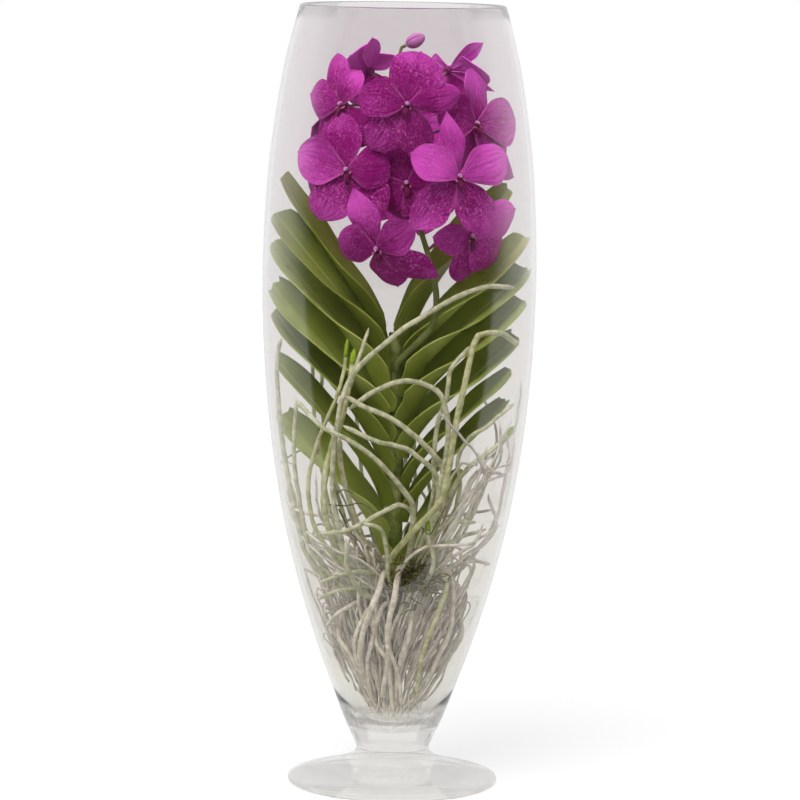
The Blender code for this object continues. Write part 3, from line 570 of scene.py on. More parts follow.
strand_skin = skin_material("fine_root_skin", (0.55, 0.50, 0.44), (0.93, 0.88, 0.80), 110.0, 0.75,
                            Specular_IOR_Level=0.2)
fine_roots = [strand() for _ in range(STRAND_COUNT)] + [riser() for _ in range(RISER_COUNT)]
place(tubes("fine_root_mass", fine_roots, 1, strand_skin), "root_silver")
fibre_skin = skin_material("dead_fibre_skin", (0.085, 0.070, 0.022), (0.26, 0.24, 0.09), 90.0, 0.85)
place(tubes("dead_fibre_tuft", [fibre() for _ in range(FIBRE_COUNT)], 0, fibre_skin), "root_silver")
rootlet_runs = []
for route in ROOTLETS:
    points = smooth_points(route, 4.0)
    rootlet_runs.append((points, [0.75 - 0.4 * i / len(points) for i in range(len(points))]))
place(tubes("dark_rootlets", rootlet_runs, 1, fibre_skin), "root_silver")

# The leafy stem is a green column, with a low ring where each leaf base sits. Fifteen strap leaves
# grow from it in two ranks. Each is thick and leathery, folded along its midrib, with an uneven bitten tip.
STEM_TOP = 408.0
STEM_RADIUS = 7.58
STEM_RING_STEP = 13.5
KEEL_AT_BASE = 12.0
OPENING_AT_BASE = 45.0
OPENING_END = 0.7
SHEATH_LEAN = 0.30
SHEATH_FULLNESS = 0.90
TURN_START = 0.14
FULL_FROM = 0.35
TIP_TAPER = 0.90
TIP_POWER = 3.8
SEAM = 0.8
SEAM_SWAY = 3.2
SEAM_STEP = 27.6
SEAM_PHASE = 12.0
TOP_SEAM_SHIFT = 9.0
TOP_SEAM_HEIGHTS = (385.0, 420.0)
TOP_SEAM_CLOSED = 403.0
TOP_SEAM_BLEND = 8.0
SPIKE_SEAM = 4.0
SPIKE_SEAM_LEAD = 24.0
SPIKE_SEAM_BLEND = 20.0
SPIKE_FOOT = 374.0
LEAF_THICKNESS = 1.2
MIDRIB_ROUND = 1.2
TIP_BITE = 0.022
CORNER_BITE = 0.018
BITE_PLACES = 6
LEAF_WAVE = (0.5, 1.1)
LEAF_SPECULAR_TINT = (0.85, 1.0, 0.55, 1.0)
LEAF_GLOW_RADIUS = (0.002, 0.004, 0.001)
SCAR_BROWN = (0.13, 0.07, 0.02)
LEAF_ALONG = 72
LEAF_ACROSS = 16
LEAF_SMOOTH = 60
# Painted shade: the back half of each leaf blade is painted darker by this much, as the half turned from the
# light
BACK_HALF_PAINTED_SHADE = 0.35
# Name, side, base height, tip, outward lean, rise, turn to the front, half width, opening at the tip and
# how light the leaf is: partly its own tone, partly painted light and shade
LEAVES = [
    ("leaf_left_1", -1, 390, (-108, -4, 552), 0.42, 0.40, 34, 20.0, 60, 0.40),
    ("leaf_left_2", -1, 364, (-112, -10, 516), 0.30, 0.46, 48, 30.0, 64, 0.45),
    ("leaf_left_3", -1, 337, (-115, 4, 490), 0.32, 0.46, 48, 31.0, 62, 0.85),
    ("leaf_left_4", -1, 309, (-115, -6, 452), 0.32, 0.46, 46, 30.0, 64, 0.75),
    ("leaf_left_5", -1, 281, (-114, 4, 428), 0.33, 0.46, 42, 29.0, 62, 0.50),
    ("leaf_left_6", -1, 251, (-111, -6, 386), 0.34, 0.48, 36, 22.0, 64, 0.35),
    ("leaf_left_7", -1, 206, (-107, 4, 335), 0.26, 0.46, 46, 27.0, 66, 0.85),
    ("leaf_right_1", 1, 396, (100, 10, 540), 0.23, 0.44, 40, 29.0, 60, 0.35),
    ("leaf_right_2", 1, 376, (113, -6, 499), 0.42, 0.40, 44, 24.0, 64, 1.00),
    ("leaf_right_3", 1, 350, (115, 4, 470), 0.34, 0.44, 46, 31.0, 64, 0.95),
    ("leaf_right_4", 1, 323, (112, -4, 442), 0.32, 0.46, 46, 30.0, 64, 0.75),
    ("leaf_right_5", 1, 295, (108, 4, 408), 0.33, 0.46, 42, 25.0, 66, 0.65),
    ("leaf_right_6", 1, 266, (102, -6, 378), 0.33, 0.47, 38, 16.0, 66, 0.50),
    ("leaf_right_7", 1, 237, (99, 6, 350), 0.33, 0.47, 36, 17.0, 66, 0.50),
    ("leaf_right_8", 1, 196, (60, -4, 286), 0.30, 0.50, 34, 17.0, 66, 0.60),
]
leaf_rng = random.Random(5)


def smooth_step(value):
    """A share that starts and ends gently between 0 and 1."""
    value = min(max(value, 0.0), 1.0)
    return value * value * (3 - 2 * value)


def leaf_line(side, base_height, tip, lean, rise, t):
    """Place and direction of a leaf's midrib, a share t of the way from its base to its tip."""
    base = np.array((STEM_X + side * KEEL_AT_BASE, 0.0, base_height))
    tip = np.array(tip, dtype=float)
    guide = np.array((base[0] + lean * (tip[0] - base[0]), 0.0, base_height + rise * (tip[2] - base_height)))
    sheath = base + (guide - base) * (2 / 3 * SHEATH_LEAN, 0.0, 2 / 3)
    bend = tip + (guide - tip) * 2 / 3 + (guide - base) * ((1 - SHEATH_LEAN) / 3, 0.0, 0.0)
    spot = (1 - t) ** 3 * base + 3 * t * (1 - t) ** 2 * sheath + 3 * t * t * (1 - t) * bend + t ** 3 * tip
    along = (1 - t) ** 2 * (sheath - base) + 2 * t * (1 - t) * (bend - sheath) + t * t * (tip - bend)
    return spot, along / np.linalg.norm(along)


def leaf_spot(leaf, t, across, wave):
    """A point of a leaf's middle surface, t along it and across from -1 (front edge) to 1 (back edge)."""
    _, side, base_height, tip, lean, rise, turn, half_width, tip_opening, _ = leaf
    spot, along = leaf_line(side, base_height, tip, lean, rise, t)
    back = np.array((0.0, 1.0, 0.0))
    back = back - along * along.dot(back)
    back /= np.linalg.norm(back)
    inward = np.cross(back, along) * -side
    angle = math.radians(turn) * smooth_step((t - TURN_START) / (1 - TURN_START))
    inward, back = (inward * math.cos(angle) - back * math.sin(angle),
                    back * math.cos(angle) + inward * math.sin(angle))
    opening = math.radians(OPENING_AT_BASE + (tip_opening - OPENING_AT_BASE) * smooth_step(t / OPENING_END))
    fullness = SHEATH_FULLNESS + (1 - SHEATH_FULLNESS) * smooth_step(t / FULL_FROM)
    width = half_width * fullness * math.sqrt(1.0 - TIP_TAPER * t ** TIP_POWER)
    parted = smooth_step((spot[2] - SPIKE_FOOT + SPIKE_SEAM_LEAD) / SPIKE_SEAM_BLEND)
    sway = SEAM_SWAY * (1 - parted) * math.cos(math.tau * (spot[2] - SEAM_PHASE) / SEAM_STEP)
    low, high = TOP_SEAM_HEIGHTS
    sway -= TOP_SEAM_SHIFT * smooth_step((spot[2] - low) / (high - low))
    parted *= 1 - smooth_step((spot[2] - TOP_SEAM_CLOSED) / TOP_SEAM_BLEND)
    reach = (abs(spot[0] - STEM_X) - side * sway - SEAM - (SPIKE_SEAM - SEAM) * parted) / math.cos(opening)
    width = min(width, reach) * abs(across)
    soft = math.sqrt(width ** 2 + MIDRIB_ROUND ** 2) - MIDRIB_ROUND
    ripple = wave * smooth_step(t * 2) * across ** 2 * math.sin(17 * t + 3 * across + 5 * wave)
    return (spot + soft * math.cos(opening) * inward
            + math.copysign(width * math.sin(opening), across) * back + ripple * inward)


def flat_grid(along, across):
    """A flat square of faces, with so many along X and across."""
    bpy.ops.object.select_all(action="DESELECT")
    bpy.ops.mesh.primitive_grid_add(x_subdivisions=along, y_subdivisions=across, size=2.0)
    return bpy.context.active_object


def mark(thing, name, values):
    """Give each vertex a value that the material reads."""
    thing.data.attributes.new(name, "FLOAT", "POINT").data.foreach_set("value", values)


def thickened(blade, thickness, faces):
    """Give a bent blade its two materials, one for each side, and its thickness."""
    for material in faces:
        blade.data.materials.append(material)
    wall = blade.modifiers.new("thickness", "SOLIDIFY")
    wall.thickness = thickness * MM
    wall.offset = 0.0
    wall.material_offset = 1
    pick(blade)
    bpy.ops.object.modifier_apply(modifier="thickness")


def strap_leaf(leaf, faces):
    """One strap leaf: a grid bent to the keeled blade, with painted shade on its back half, then given its
    thickness.
    """
    blade = flat_grid(LEAF_ALONG, LEAF_ACROSS)
    blade.name = leaf[0] + "_blade"
    bites = [leaf_rng.uniform(0.0, TIP_BITE) for _ in range(BITE_PLACES)]
    lobe = leaf_rng.choice((-1, 1))
    wave = leaf_rng.uniform(*LEAF_WAVE)
    tones = []
    for vertex in blade.data.vertices:
        share, across = (vertex.co.x + 1) / 2, vertex.co.y
        bite = float(np.interp(across, np.linspace(-1, 1, BITE_PLACES), bites))
        bite += CORNER_BITE * (1 + lobe * across) / 2
        vertex.co = Vector(leaf_spot(leaf, share * (1 - bite), across, wave)) * MM
        # Painted light and shade: how light the leaf is, partly its own tone, less painted shade on its back
        # half
        tones.append(leaf[-1] - BACK_HALF_PAINTED_SHADE * smooth_step((across + 0.08) / 0.16))
    mark(blade, "lightness_and_painted_shade", tones)
    thickened(blade, LEAF_THICKNESS, faces)
    bpy.ops.object.mode_set(mode="EDIT")
    bpy.ops.mesh.select_all(action="SELECT")
    bpy.ops.mesh.normals_make_consistent(inside=False)
    bpy.ops.object.mode_set(mode="OBJECT")
    bpy.ops.object.shade_smooth_by_angle(angle=math.radians(LEAF_SMOOTH))
    return blade


def leaf_material(name, deep, fresh, pale):
    """Leathery green: veins and bands, a paler midrib, a deeper base, a few small brown scars, painted light
    and shade from each leaf's mark, and a paler painted lit streak where that is high.
    """
    material, tree, shader = new_material(name, Roughness=0.42, Specular_IOR_Level=0.28,
                                          Specular_Tint=LEAF_SPECULAR_TINT, Subsurface_Weight=0.08,
                                          Subsurface_Radius=LEAF_GLOW_RADIUS)
    spot = add_node(tree, "ShaderNodeTexCoord")
    split = add_node(tree, "ShaderNodeSeparateXYZ", {0: spot.outputs["UV"]})
    stretch = add_node(tree, "ShaderNodeMapping", {"Vector": spot.outputs["UV"], "Scale": (1.4, 24.0, 1.0)})
    veins = noise(tree, stretch.outputs[0], 3.0, 6.0)
    broad = noise(tree, spot.outputs["Object"], 16.0, 3.0)
    damage = noise(tree, spot.outputs["Object"], 34.0, 4.0)
    # Painted light and shade: the leaf's mark, partly its own tone, with painted shade on the back half
    own = add_node(tree, "ShaderNodeAttribute", attribute_name="lightness_and_painted_shade")
    patches = ranged(tree, broad.outputs["Fac"], 0.34, 0.66, -0.22, 0.30)
    base = ranged(tree, split.outputs["X"], 0.05, 0.40, -0.55, 0.0)
    tone = reckoned(tree, "ADD", reckoned(tree, "ADD", own.outputs["Fac"], patches), base)
    stripe = ranged(tree, veins.outputs["Fac"], 0.42, 0.70, 0.0, 0.60)
    veined = blended(tree, stripe, blended(tree, tone, deep, fresh), fresh)
    rib_side = reckoned(tree, "ABSOLUTE", reckoned(tree, "SUBTRACT", split.outputs["Y"], 0.5))
    rib = ranged(tree, rib_side, 0.0, 0.035, 0.6, 0.0)
    # Painted light: a paler lit streak where the leaf is painted most lit
    painted_lit_strip = ranged(tree, tone, 0.70, 1.05, 0.0, 0.75)
    # The paler midrib, together with the painted lit streak
    ribbed_and_lit = blended(tree, reckoned(tree, "MAXIMUM", rib, painted_lit_strip), veined, pale)
    scars = ranged(tree, damage.outputs["Fac"], 0.69, 0.73, 0.0, 0.8)
    tree.links.new(blended(tree, scars, ribbed_and_lit, SCAR_BROWN), shader.inputs["Base Color"])
    raised(tree, shader, 0.35, GRAIN_DEPTH, veins.outputs["Fac"])
    return material


rings = []
for index in range(int((STEM_TOP - STEM_FOOT) / STEM_RING_STEP)):
    height = STEM_FOOT + index * STEM_RING_STEP
    rings += [(STEM_RADIUS - 0.5, height + 0.6), (STEM_RADIUS, height + 1.6),
              (STEM_RADIUS - 0.15, height + STEM_RING_STEP - 1.2)]
outline = [(0.0, STEM_TOP), (STEM_RADIUS - 0.6, STEM_TOP), *rings[::-1], (STEM_RADIUS - 0.6, STEM_FOOT),
           (0.0, STEM_FOOT)]
stem = turned("leafy_stem", outline, 32)
stem.data.transform(Matrix.Translation((STEM_X * MM, 0, 0)))
stem.data.materials.append(skin_material("stem_skin", (0.13, 0.18, 0.03), (0.40, 0.43, 0.15), 60.0, 0.55))
place(stem, "stem_green", "stem")

upper_side = leaf_material("leaf_upper_side", (0.150, 0.188, 0.028), (0.370, 0.440, 0.080),
                           (0.56, 0.64, 0.22))
underside = leaf_material("leaf_underside", (0.172, 0.208, 0.038), (0.390, 0.455, 0.095),
                          (0.58, 0.66, 0.24))
for leaf in LEAVES:
    place(strap_leaf(leaf, (upper_side, underside)), "leaf_green", leaf[0])

# The flower spike comes out between two leaf bases, arches to the right and carries the blooms on thin
# stalks. It is green below, brown-purple towards the top, and ends in the stalk of the last bud.
SPIKE_PATH = [(STEM_X, -11.2, SPIKE_FOOT), (STEM_X + 0.5, -11.8, 381), (7, -18.5, 391), (17, -24, 402),
              (27, -27, 413), (32, -28, 426), (33, -28, 442), (30, -28, 462), (24, -27, 484), (17, -24, 508),
              (9, -6, 560), (3, 0, 610), (-2, 0, 642), (-2.8, 0, 653), (-1.2, 0, 661.6), (2.6, 0, 663.6)]
SPIKE_RADIUS = 3.1
SPIKE_TIP_RADIUS = 1.5
STALK_GREEN_TO = 590.0
PEDICEL_RADIUS = 1.6
PEDICEL_DROP = 14.0
PEDICEL_TOP = 640.0
PEDICEL_STRAIGHT = 5.0
PEDICEL_BEND = 16.0
PEDICEL_ARCH = 2.0
COLUMN_RADIUS = 4.2
COLUMN_BACK = -2.0
# Name, centre, the way it faces round the vase (0 is the front, 90 the right), lift and roll. Then the top
# sepal, the petals and the lower sepals: direction, length, width, how pointed each is, and how lit it is
# painted.
BLOOMS = [
    ("bloom_front_top", (4, -60, 614), 4, 4, -14,
     [(89, 48, 49, 0.1, 0.35), (28, 48, 27, 0.3, 0.25), (179, 42, 37, 0.1, 0.2),
      (303, 46, 35, 0.2, 0.1), (246, 48, 37, 0.2, 0.3)]),
    ("bloom_front_right", (50, -76, 553), 20, 0, 3,
     [(97, 57, 21, 1, 0.7), (20, 48, 38, 0.1, 0.9), (148, 46, 35, 0.1, 0.75),
      (299, 58, 35, 0.35, 0.6), (225, 59, 35, 0.35, 0.45)]),
    ("bloom_front_left", (-47, -46, 555), -18, 4, 12,
     [(88, 51, 34, 0.3, 0.3), (357, 37, 38, 0.1, 0.1), (152, 50, 44, 0.25, 0.7),
      (297, 50, 40, 0.2, 0.15), (226, 51, 40, 0.2, 0.4)]),
    ("bloom_front_low", (-20, -60, 488), -12, -22, 14,
     [(94, 56, 27, 0.8, 0.55), (20, 38, 34, 0.1, 0.35), (155, 35, 42, 0.2, 0.4),
      (315, 59, 30, 0.7, 0.2), (271, 44, 34, 0.2, 0.15)]),
    ("bloom_front_middle", (5, -42, 544), 0, 0, 4,
     [(98, 34, 40, 0.3, 0.05), (9, 31, 38, 0.1, 0.1), (203, 33, 38, 0.1, 0),
      (305, 36, 38, 0.2, 0.15), (258, 32, 34, 0.1, 0.5)]),
    ("bloom_left_top", (-52, -24, 611), -42, 6, 6,
     [(106, 50, 26, 0.4, 0.45), (60, 34, 30, 0.3, 0.35), (164, 45, 34, 0.1, 0.5),
      (309, 44, 36, 0.2, 0), (213, 47, 34, 0.2, 0.3)]),
    ("bloom_right_top", (64, -30, 596), 42, 8, 0,
     [(75, 51, 36, 0.1, 0.45), (5, 58, 44, 0.1, 0.6), (160, 38, 38, 0.1, 0.2),
      (317, 46, 38, 0.2, 0.3), (237, 42, 38, 0.2, 0.2)]),
    ("bloom_right_low", (62, -34, 498), 34, -14, 0,
     [(84, 40, 38, 0.2, 0.8), (27, 51, 36, 0.1, 1), (183, 35, 30, 0.3, 0.5),
      (325, 46, 42, 0.3, 0.75), (275, 46, 34, 0.5, 0.35)]),
    ("bloom_right_back", (68, 50, 574), 132, 4, 0,
     [(94, 43, 38, 0.2, 0.3), (21, 32, 38, 0.1, 0.1), (169, 46, 38, 0.1, 0.4),
      (294, 40, 40, 0.2, 0.1), (203, 61, 30, 0.7, 0.85)]),
    ("bloom_crown_left", (-30, 20, 640), -142, 28, 0,
     [(70, 42, 17, 0.3, 1.0), (34, 37, 36, 0.0, 1.0), (142, 26, 20, 0.2, 0.7),
      (287, 32, 34, 0.2, 0.5), (237, 43, 34, 0.2, 0.3)]),
    ("bloom_crown_right", (42, 24, 642), 146, 28, 0,
     [(146, 56, 14, 0.95, 1), (352, 18, 30, 0.1, 0.7), (181, 43, 34, 0.0, 1.0),
      (279, 35, 34, 0.2, 0.3), (198, 49, 12, 0.8, 0.6)]),
    ("bloom_back_left", (-62, 44, 562), -116, 4, 0,
     [(78, 42, 36, 0.2, 0.2), (29, 59, 38, 0.3, 0.45), (160, 34, 38, 0.1, 0.1),
      (335, 58, 40, 0.3, 0.6), (234, 44, 42, 0.2, 0.2)]),
    ("bloom_back_middle", (4, 66, 590), 180, 6, 0,
     [(89, 45, 38, 0.2, 0.1), (13, 43, 42, 0.1, 0.1), (165, 43, 42, 0.1, 0.15),
      (307, 45, 42, 0.2, 0), (233, 45, 42, 0.2, 0.05)]),
    ("bloom_back_low", (10, 78, 514), 177, -4, 0,
     [(90, 45, 38, 0.2, 0.05), (16, 43, 40, 0.1, 0.1), (162, 44, 40, 0.1, 0.1),
      (340, 24, 38, 0.2, 0.05), (206, 29, 38, 0.2, 0.1)]),
]


def bloom_axes(facing, lift, roll):
    """The bloom's own right, up and outward directions."""
    facing, lift, roll = map(math.radians, (facing, lift, roll))
    outward = Vector((math.sin(facing) * math.cos(lift), -math.cos(facing) * math.cos(lift), math.sin(lift)))
    right = Vector((math.cos(facing), math.sin(facing), 0.0))
    up = outward.cross(right)
    return (right * math.cos(roll) + up * math.sin(roll), up * math.cos(roll) - right * math.sin(roll),
            outward)


def spike_point(height):
    """The place on the flower stalk at a height."""
    return min(smooth_points(SPIKE_PATH, 6.0), key=lambda spot: abs(spot[2] - height))


stalk_path = smooth_points(SPIKE_PATH, 5.0)
stalk_radii = [SPIKE_RADIUS + (SPIKE_TIP_RADIUS - SPIKE_RADIUS) * smooth_step(i / (len(stalk_path) - 1))
               for i in range(len(stalk_path))]
green = sum(1 for spot in stalk_path if spot[2] < STALK_GREEN_TO)
stalk = tubes("flower_stalk", [(stalk_path[:green + 1], stalk_radii[:green + 1])], 4,
              skin_material("stalk_skin", (0.10, 0.14, 0.025), (0.22, 0.25, 0.08), 40.0, 0.5))
stalk_end = tubes("flower_stalk_end", [(stalk_path[green:], stalk_radii[green:])], 4,
                  skin_material("stalk_end_skin", (0.11, 0.06, 0.04), (0.24, 0.20, 0.10), 60.0, 0.5))
pedicels = []
for _, centre, facing, lift, roll, _ in BLOOMS:
    outward = np.array(bloom_axes(facing, lift, roll)[2])
    seat = np.array(centre, dtype=float) + outward * (COLUMN_BACK - COLUMN_RADIUS - TOUCH_GAP)
    start = spike_point(min(centre[2] - PEDICEL_DROP, PEDICEL_TOP))
    bend = seat - PEDICEL_BEND * outward + np.array((0.0, 0.0, PEDICEL_ARCH))
    route = smooth_points([start, bend, seat - PEDICEL_STRAIGHT * outward, seat], 4.0)
    pedicels.append((route, [PEDICEL_RADIUS * (0.85 + 0.25 * i / len(route)) for i in range(len(route))]))
pedicel_tubes = tubes("bloom_stalks", pedicels, 3,
                      skin_material("bloom_stalk_skin", (0.16, 0.03, 0.09), (0.34, 0.14, 0.20), 90.0, 0.5))
place(joined("flower_spike_grown", stalk, stalk_end, pedicel_tubes), "spike_green", "flower_spike")

# Each bloom has five velvety tepals on narrow claws, magenta with a net of paler flecks, a small dark
# three-lobed lip and a pale column in the middle, grown as one piece.
TEPAL_FRONT = (-1.4, 1.4, 1.4, -1.4, -3.2)
TEPAL_NETTING = (0.55, 0.42, 0.46, 0.9, 0.8)
CLAW_WIDTH = 0.11
TEPAL_SHOULDER = 0.60
TEPAL_START = 0.04
TEPAL_THICKNESS = 0.7
TEPAL_ALONG = 26
TEPAL_ACROSS = 16
TEPAL_SMOOTH = 70
TEPAL_TWIST = 20
TEPAL_WAVE = (0.5, 1.6)
TEPAL_REFLEX = (2.5, 9.5)
TEPAL_ARCH = (0.5, 3.5)
TEPAL_CUP = (-5.0, 2.8)
TEPAL_CURL = 3.0
EDGE_WAVE = 0.035
TIP_POINT = 1.3
TIP_POINT_WIDTH = 0.22
MIDLINE_GROOVE = 0.6
MIDLINE_WIDTH = 0.13
TEPAL_SPECULAR_TINT = (1.0, 0.45, 0.95, 1.0)
TEPAL_SHEEN_TINT = (1.0, 0.35, 0.95, 1.0)
petal_rng = random.Random(11)


def tepal_fullness(share, point):
    """Half width of a tepal as a share of its widest, from the narrow claw to the round or pointed end."""
    if share < TEPAL_SHOULDER:
        return CLAW_WIDTH + (1 - CLAW_WIDTH) * math.sin(math.pi / 2 * share / TEPAL_SHOULDER) ** 1.2
    past = min(1.0, (share - TEPAL_SHOULDER) / (1 - TEPAL_SHOULDER))
    return (1 - point) * math.sqrt(1 - past * past) + point * (1 - past ** 1.6)


def tepal(shape, front, netting):
    """One tepal: a grid shaped to the blade, domed or cupped and bent back, with its own wave and twist."""
    blade = flat_grid(TEPAL_ALONG, TEPAL_ACROSS)
    direction, length, width, point, painted_lighting = shape
    angle = math.radians(direction)
    twist = math.radians(petal_rng.uniform(-TEPAL_TWIST, TEPAL_TWIST))
    wave = petal_rng.uniform(*TEPAL_WAVE)
    phase = petal_rng.uniform(0, math.tau)
    reflex = petal_rng.uniform(*TEPAL_REFLEX)
    arch = petal_rng.uniform(*TEPAL_ARCH)
    cup = petal_rng.uniform(*TEPAL_CUP)
    curl = petal_rng.uniform(-TEPAL_CURL, TEPAL_CURL)
    for vertex in blade.data.vertices:
        across = vertex.co.y
        share = TEPAL_START + (1 - TEPAL_START) * math.sin((vertex.co.x + 1) / 2 * math.pi / 2) ** 0.9
        full = tepal_fullness(min(share, 0.9995), point)
        side = across * width / 2 * full
        tip = math.exp(-(across / TIP_POINT_WIDTH) ** 2) * smooth_step((share - 0.9) / 0.1)
        side += EDGE_WAVE * width * full * math.sin(phase + 9.0 * share) * abs(across)
        along = length * share + TIP_POINT * tip
        height = front - reflex * share ** 2.2 + arch * math.sin(math.pi * share) + cup * across ** 2 * full
        height += curl * smooth_step((share - 0.55) / 0.45) * across * full
        height -= MIDLINE_GROOVE * math.exp(-(across / MIDLINE_WIDTH) ** 2) * full
        height += wave * abs(across) ** 1.5 * full * math.sin(phase + 6.0 * share + 1.4 * across)
        turn = twist * share
        side, height = (side * math.cos(turn) - (height - front) * math.sin(turn),
                        front + (height - front) * math.cos(turn) + side * math.sin(turn))
        vertex.co = Vector((along * math.cos(angle) - side * math.sin(angle),
                            along * math.sin(angle) + side * math.cos(angle), height)) * MM
    # Each tepal carries its painted light and shade, and its netting
    for name, value in (("painted_lighting", painted_lighting), ("netting", netting)):
        mark(blade, name, [value] * len(blade.data.vertices))
    thickened(blade, TEPAL_THICKNESS, tepal_faces)
    bpy.ops.object.shade_smooth_by_angle(angle=math.radians(TEPAL_SMOOTH))
    return blade


def lobe(points, thick, width, material):
    """A small fleshy lobe: a tube along points, thickest in the middle and flattened or widened."""
    path = smooth_points(points, 1.2)
    radii = [thick * math.sin(math.pi * (0.12 + 0.80 * i / (len(path) - 1))) for i in range(len(path))]
    item = tubes("lobe", [(path, radii)], 3, material)
    middle = sum((Vector(p) for p in path), Vector()) / len(path) * MM
    item.data.transform(Matrix.Translation(middle) @ Matrix.Diagonal((width, 1, 1, 1))
                        @ Matrix.Translation(-middle))
    return item


def tepal_material(name, deep, bright, pale, net, lines):
    """Velvety petal skin: pale flecks in a deeper net, faint specks, pale lines along the claw, painted light
    and shade for each tepal, and painted shade towards the claw.
    """
    material, tree, shader = new_material(name, Roughness=0.5, Specular_IOR_Level=0.25,
                                          Specular_Tint=TEPAL_SPECULAR_TINT, Sheen_Weight=0.16,
                                          Sheen_Roughness=0.45, Sheen_Tint=TEPAL_SHEEN_TINT)
    spot = add_node(tree, "ShaderNodeTexCoord")
    split = add_node(tree, "ShaderNodeSeparateXYZ", {0: spot.outputs["UV"]})
    # Painted light and shade: how lit each tepal is painted
    own = add_node(tree, "ShaderNodeAttribute", attribute_name="painted_lighting")
    netting = add_node(tree, "ShaderNodeAttribute", attribute_name="netting")
    stretch = add_node(tree, "ShaderNodeMapping", {"Vector": spot.outputs["UV"], "Scale": (20.0, 16.0, 1.0)})
    bend = noise(tree, stretch.outputs[0], 0.6, 2.0)
    shift = add_node(tree, "ShaderNodeVectorMath", {0: bend.outputs["Color"], 1: (2.6, 2.6, 0.0)},
                     operation="MULTIPLY")
    moved = add_node(tree, "ShaderNodeVectorMath", {0: shift.outputs[0], 1: stretch.outputs[0]},
                     operation="ADD")
    cells = add_node(tree, "ShaderNodeTexVoronoi", {"Vector": moved.outputs[0], "Scale": 1.0},
                     feature="DISTANCE_TO_EDGE")
    edge = cells.outputs["Distance"]
    where = ranged(tree, noise(tree, spot.outputs["Object"], 60.0, 4.0).outputs["Fac"], 0.34, 0.58)
    chosen = reckoned(tree, "MULTIPLY", where, netting.outputs["Fac"])
    netted = reckoned(tree, "MULTIPLY", ranged(tree, edge, 0.08, 0.40, 0.0, net), chosen)
    dots = add_node(tree, "ShaderNodeTexVoronoi", {"Vector": spot.outputs["Object"], "Scale": 480.0})
    sparse = reckoned(tree, "MULTIPLY", ranged(tree, dots.outputs["Distance"], 0.08, 0.30, 0.55, 0.0), where)
    rib_side = reckoned(tree, "ABSOLUTE", reckoned(tree, "SUBTRACT", split.outputs["Y"], 0.5))
    claw = reckoned(tree, "MULTIPLY", ranged(tree, rib_side, 0.36, 0.49),
                    ranged(tree, split.outputs["X"], 0.06, 0.26, lines, 0.0))
    pale_part = reckoned(tree, "MAXIMUM", reckoned(tree, "MAXIMUM", netted, sparse), claw)
    lined = reckoned(tree, "MULTIPLY", ranged(tree, edge, 0.02, 0.30, -0.34, 0.10), netting.outputs["Fac"])
    # Painted light and shade of each tepal, with the darker net lines
    drawn = reckoned(tree, "ADD", own.outputs["Fac"], lined)
    # Painted shade: darker towards the claw, in the crowded middle of the bloom
    lit_and_claw_shaded = reckoned(tree, "ADD", drawn, ranged(tree, split.outputs["X"], 0.0, 0.6, -0.35, 0.08))
    broad = noise(tree, spot.outputs["Object"], 26.0, 3.0)
    tone = ranged(tree, broad.outputs["Fac"], 0.30, 0.70, -0.30, 0.30)
    level = reckoned(tree, "ADD", lit_and_claw_shaded, tone, use_clamp=True)
    marked = blended(tree, pale_part, blended(tree, level, deep, bright), pale)
    tree.links.new(marked, shader.inputs["Base Color"])
    lengthwise = add_node(tree, "ShaderNodeMapping", {"Vector": spot.outputs["UV"], "Scale": (1.6, 7.0, 1.0)})
    folds = noise(tree, lengthwise.outputs[0], 1.4, 2.0)
    soft = add_node(tree, "ShaderNodeBump", {"Strength": 0.5, "Distance": 0.004,
                                             "Height": folds.outputs["Fac"]})
    raised(tree, shader, 0.30, 0.0005, edge, Normal=soft.outputs["Normal"])
    return material


def open_bloom(bloom):
    """One bloom: five tepals round the column and the lip, turned to where it faces."""
    name, centre, facing, lift, roll, shapes = bloom
    pieces = [tepal(*tepal_facts) for tepal_facts in zip(shapes, TEPAL_FRONT, TEPAL_NETTING)]
    bpy.ops.mesh.primitive_uv_sphere_add(segments=20, ring_count=12, radius=COLUMN_RADIUS * MM,
                                         location=(0, 0, COLUMN_BACK * MM))
    cup = bpy.context.active_object
    cup.data.materials.append(cup_skin)
    pieces.append(cup)
    pieces.append(lobe([(0, 0.6, -1), (0, 1.8, 3), (0, 1.6, 6.0)], 2.0, 1.1, column_skin))
    pieces.append(lobe([(0, 1.4, 5.0), (0, 0.4, 6.6)], 1.0, 1.2, anther_skin))
    pieces.append(lobe([(0, -1.5, 0), (0, -4.5, 4.5), (0, -9.0, 6.5), (0, -12.5, 5.0)], 1.8, 1.5, lip_skin))
    for side in (-1, 1):
        points = [(side * 2.4, -1.0, 0), (side * 3.8, -2.4, 3.4), (side * 3.0, -3.0, 6.0)]
        pieces.append(lobe(points, 1.2, 0.8, lobe_skin))
    item = joined(name + "_grown", *pieces)
    right, up, outward = bloom_axes(facing, lift, roll)
    matrix = Matrix((right, up, outward)).transposed().to_4x4()
    matrix.translation = Vector(centre) * MM
    bpy.ops.object.transform_apply(location=True, rotation=True, scale=True)
    item.data.transform(matrix)
    place(item, "bloom_purple", name)


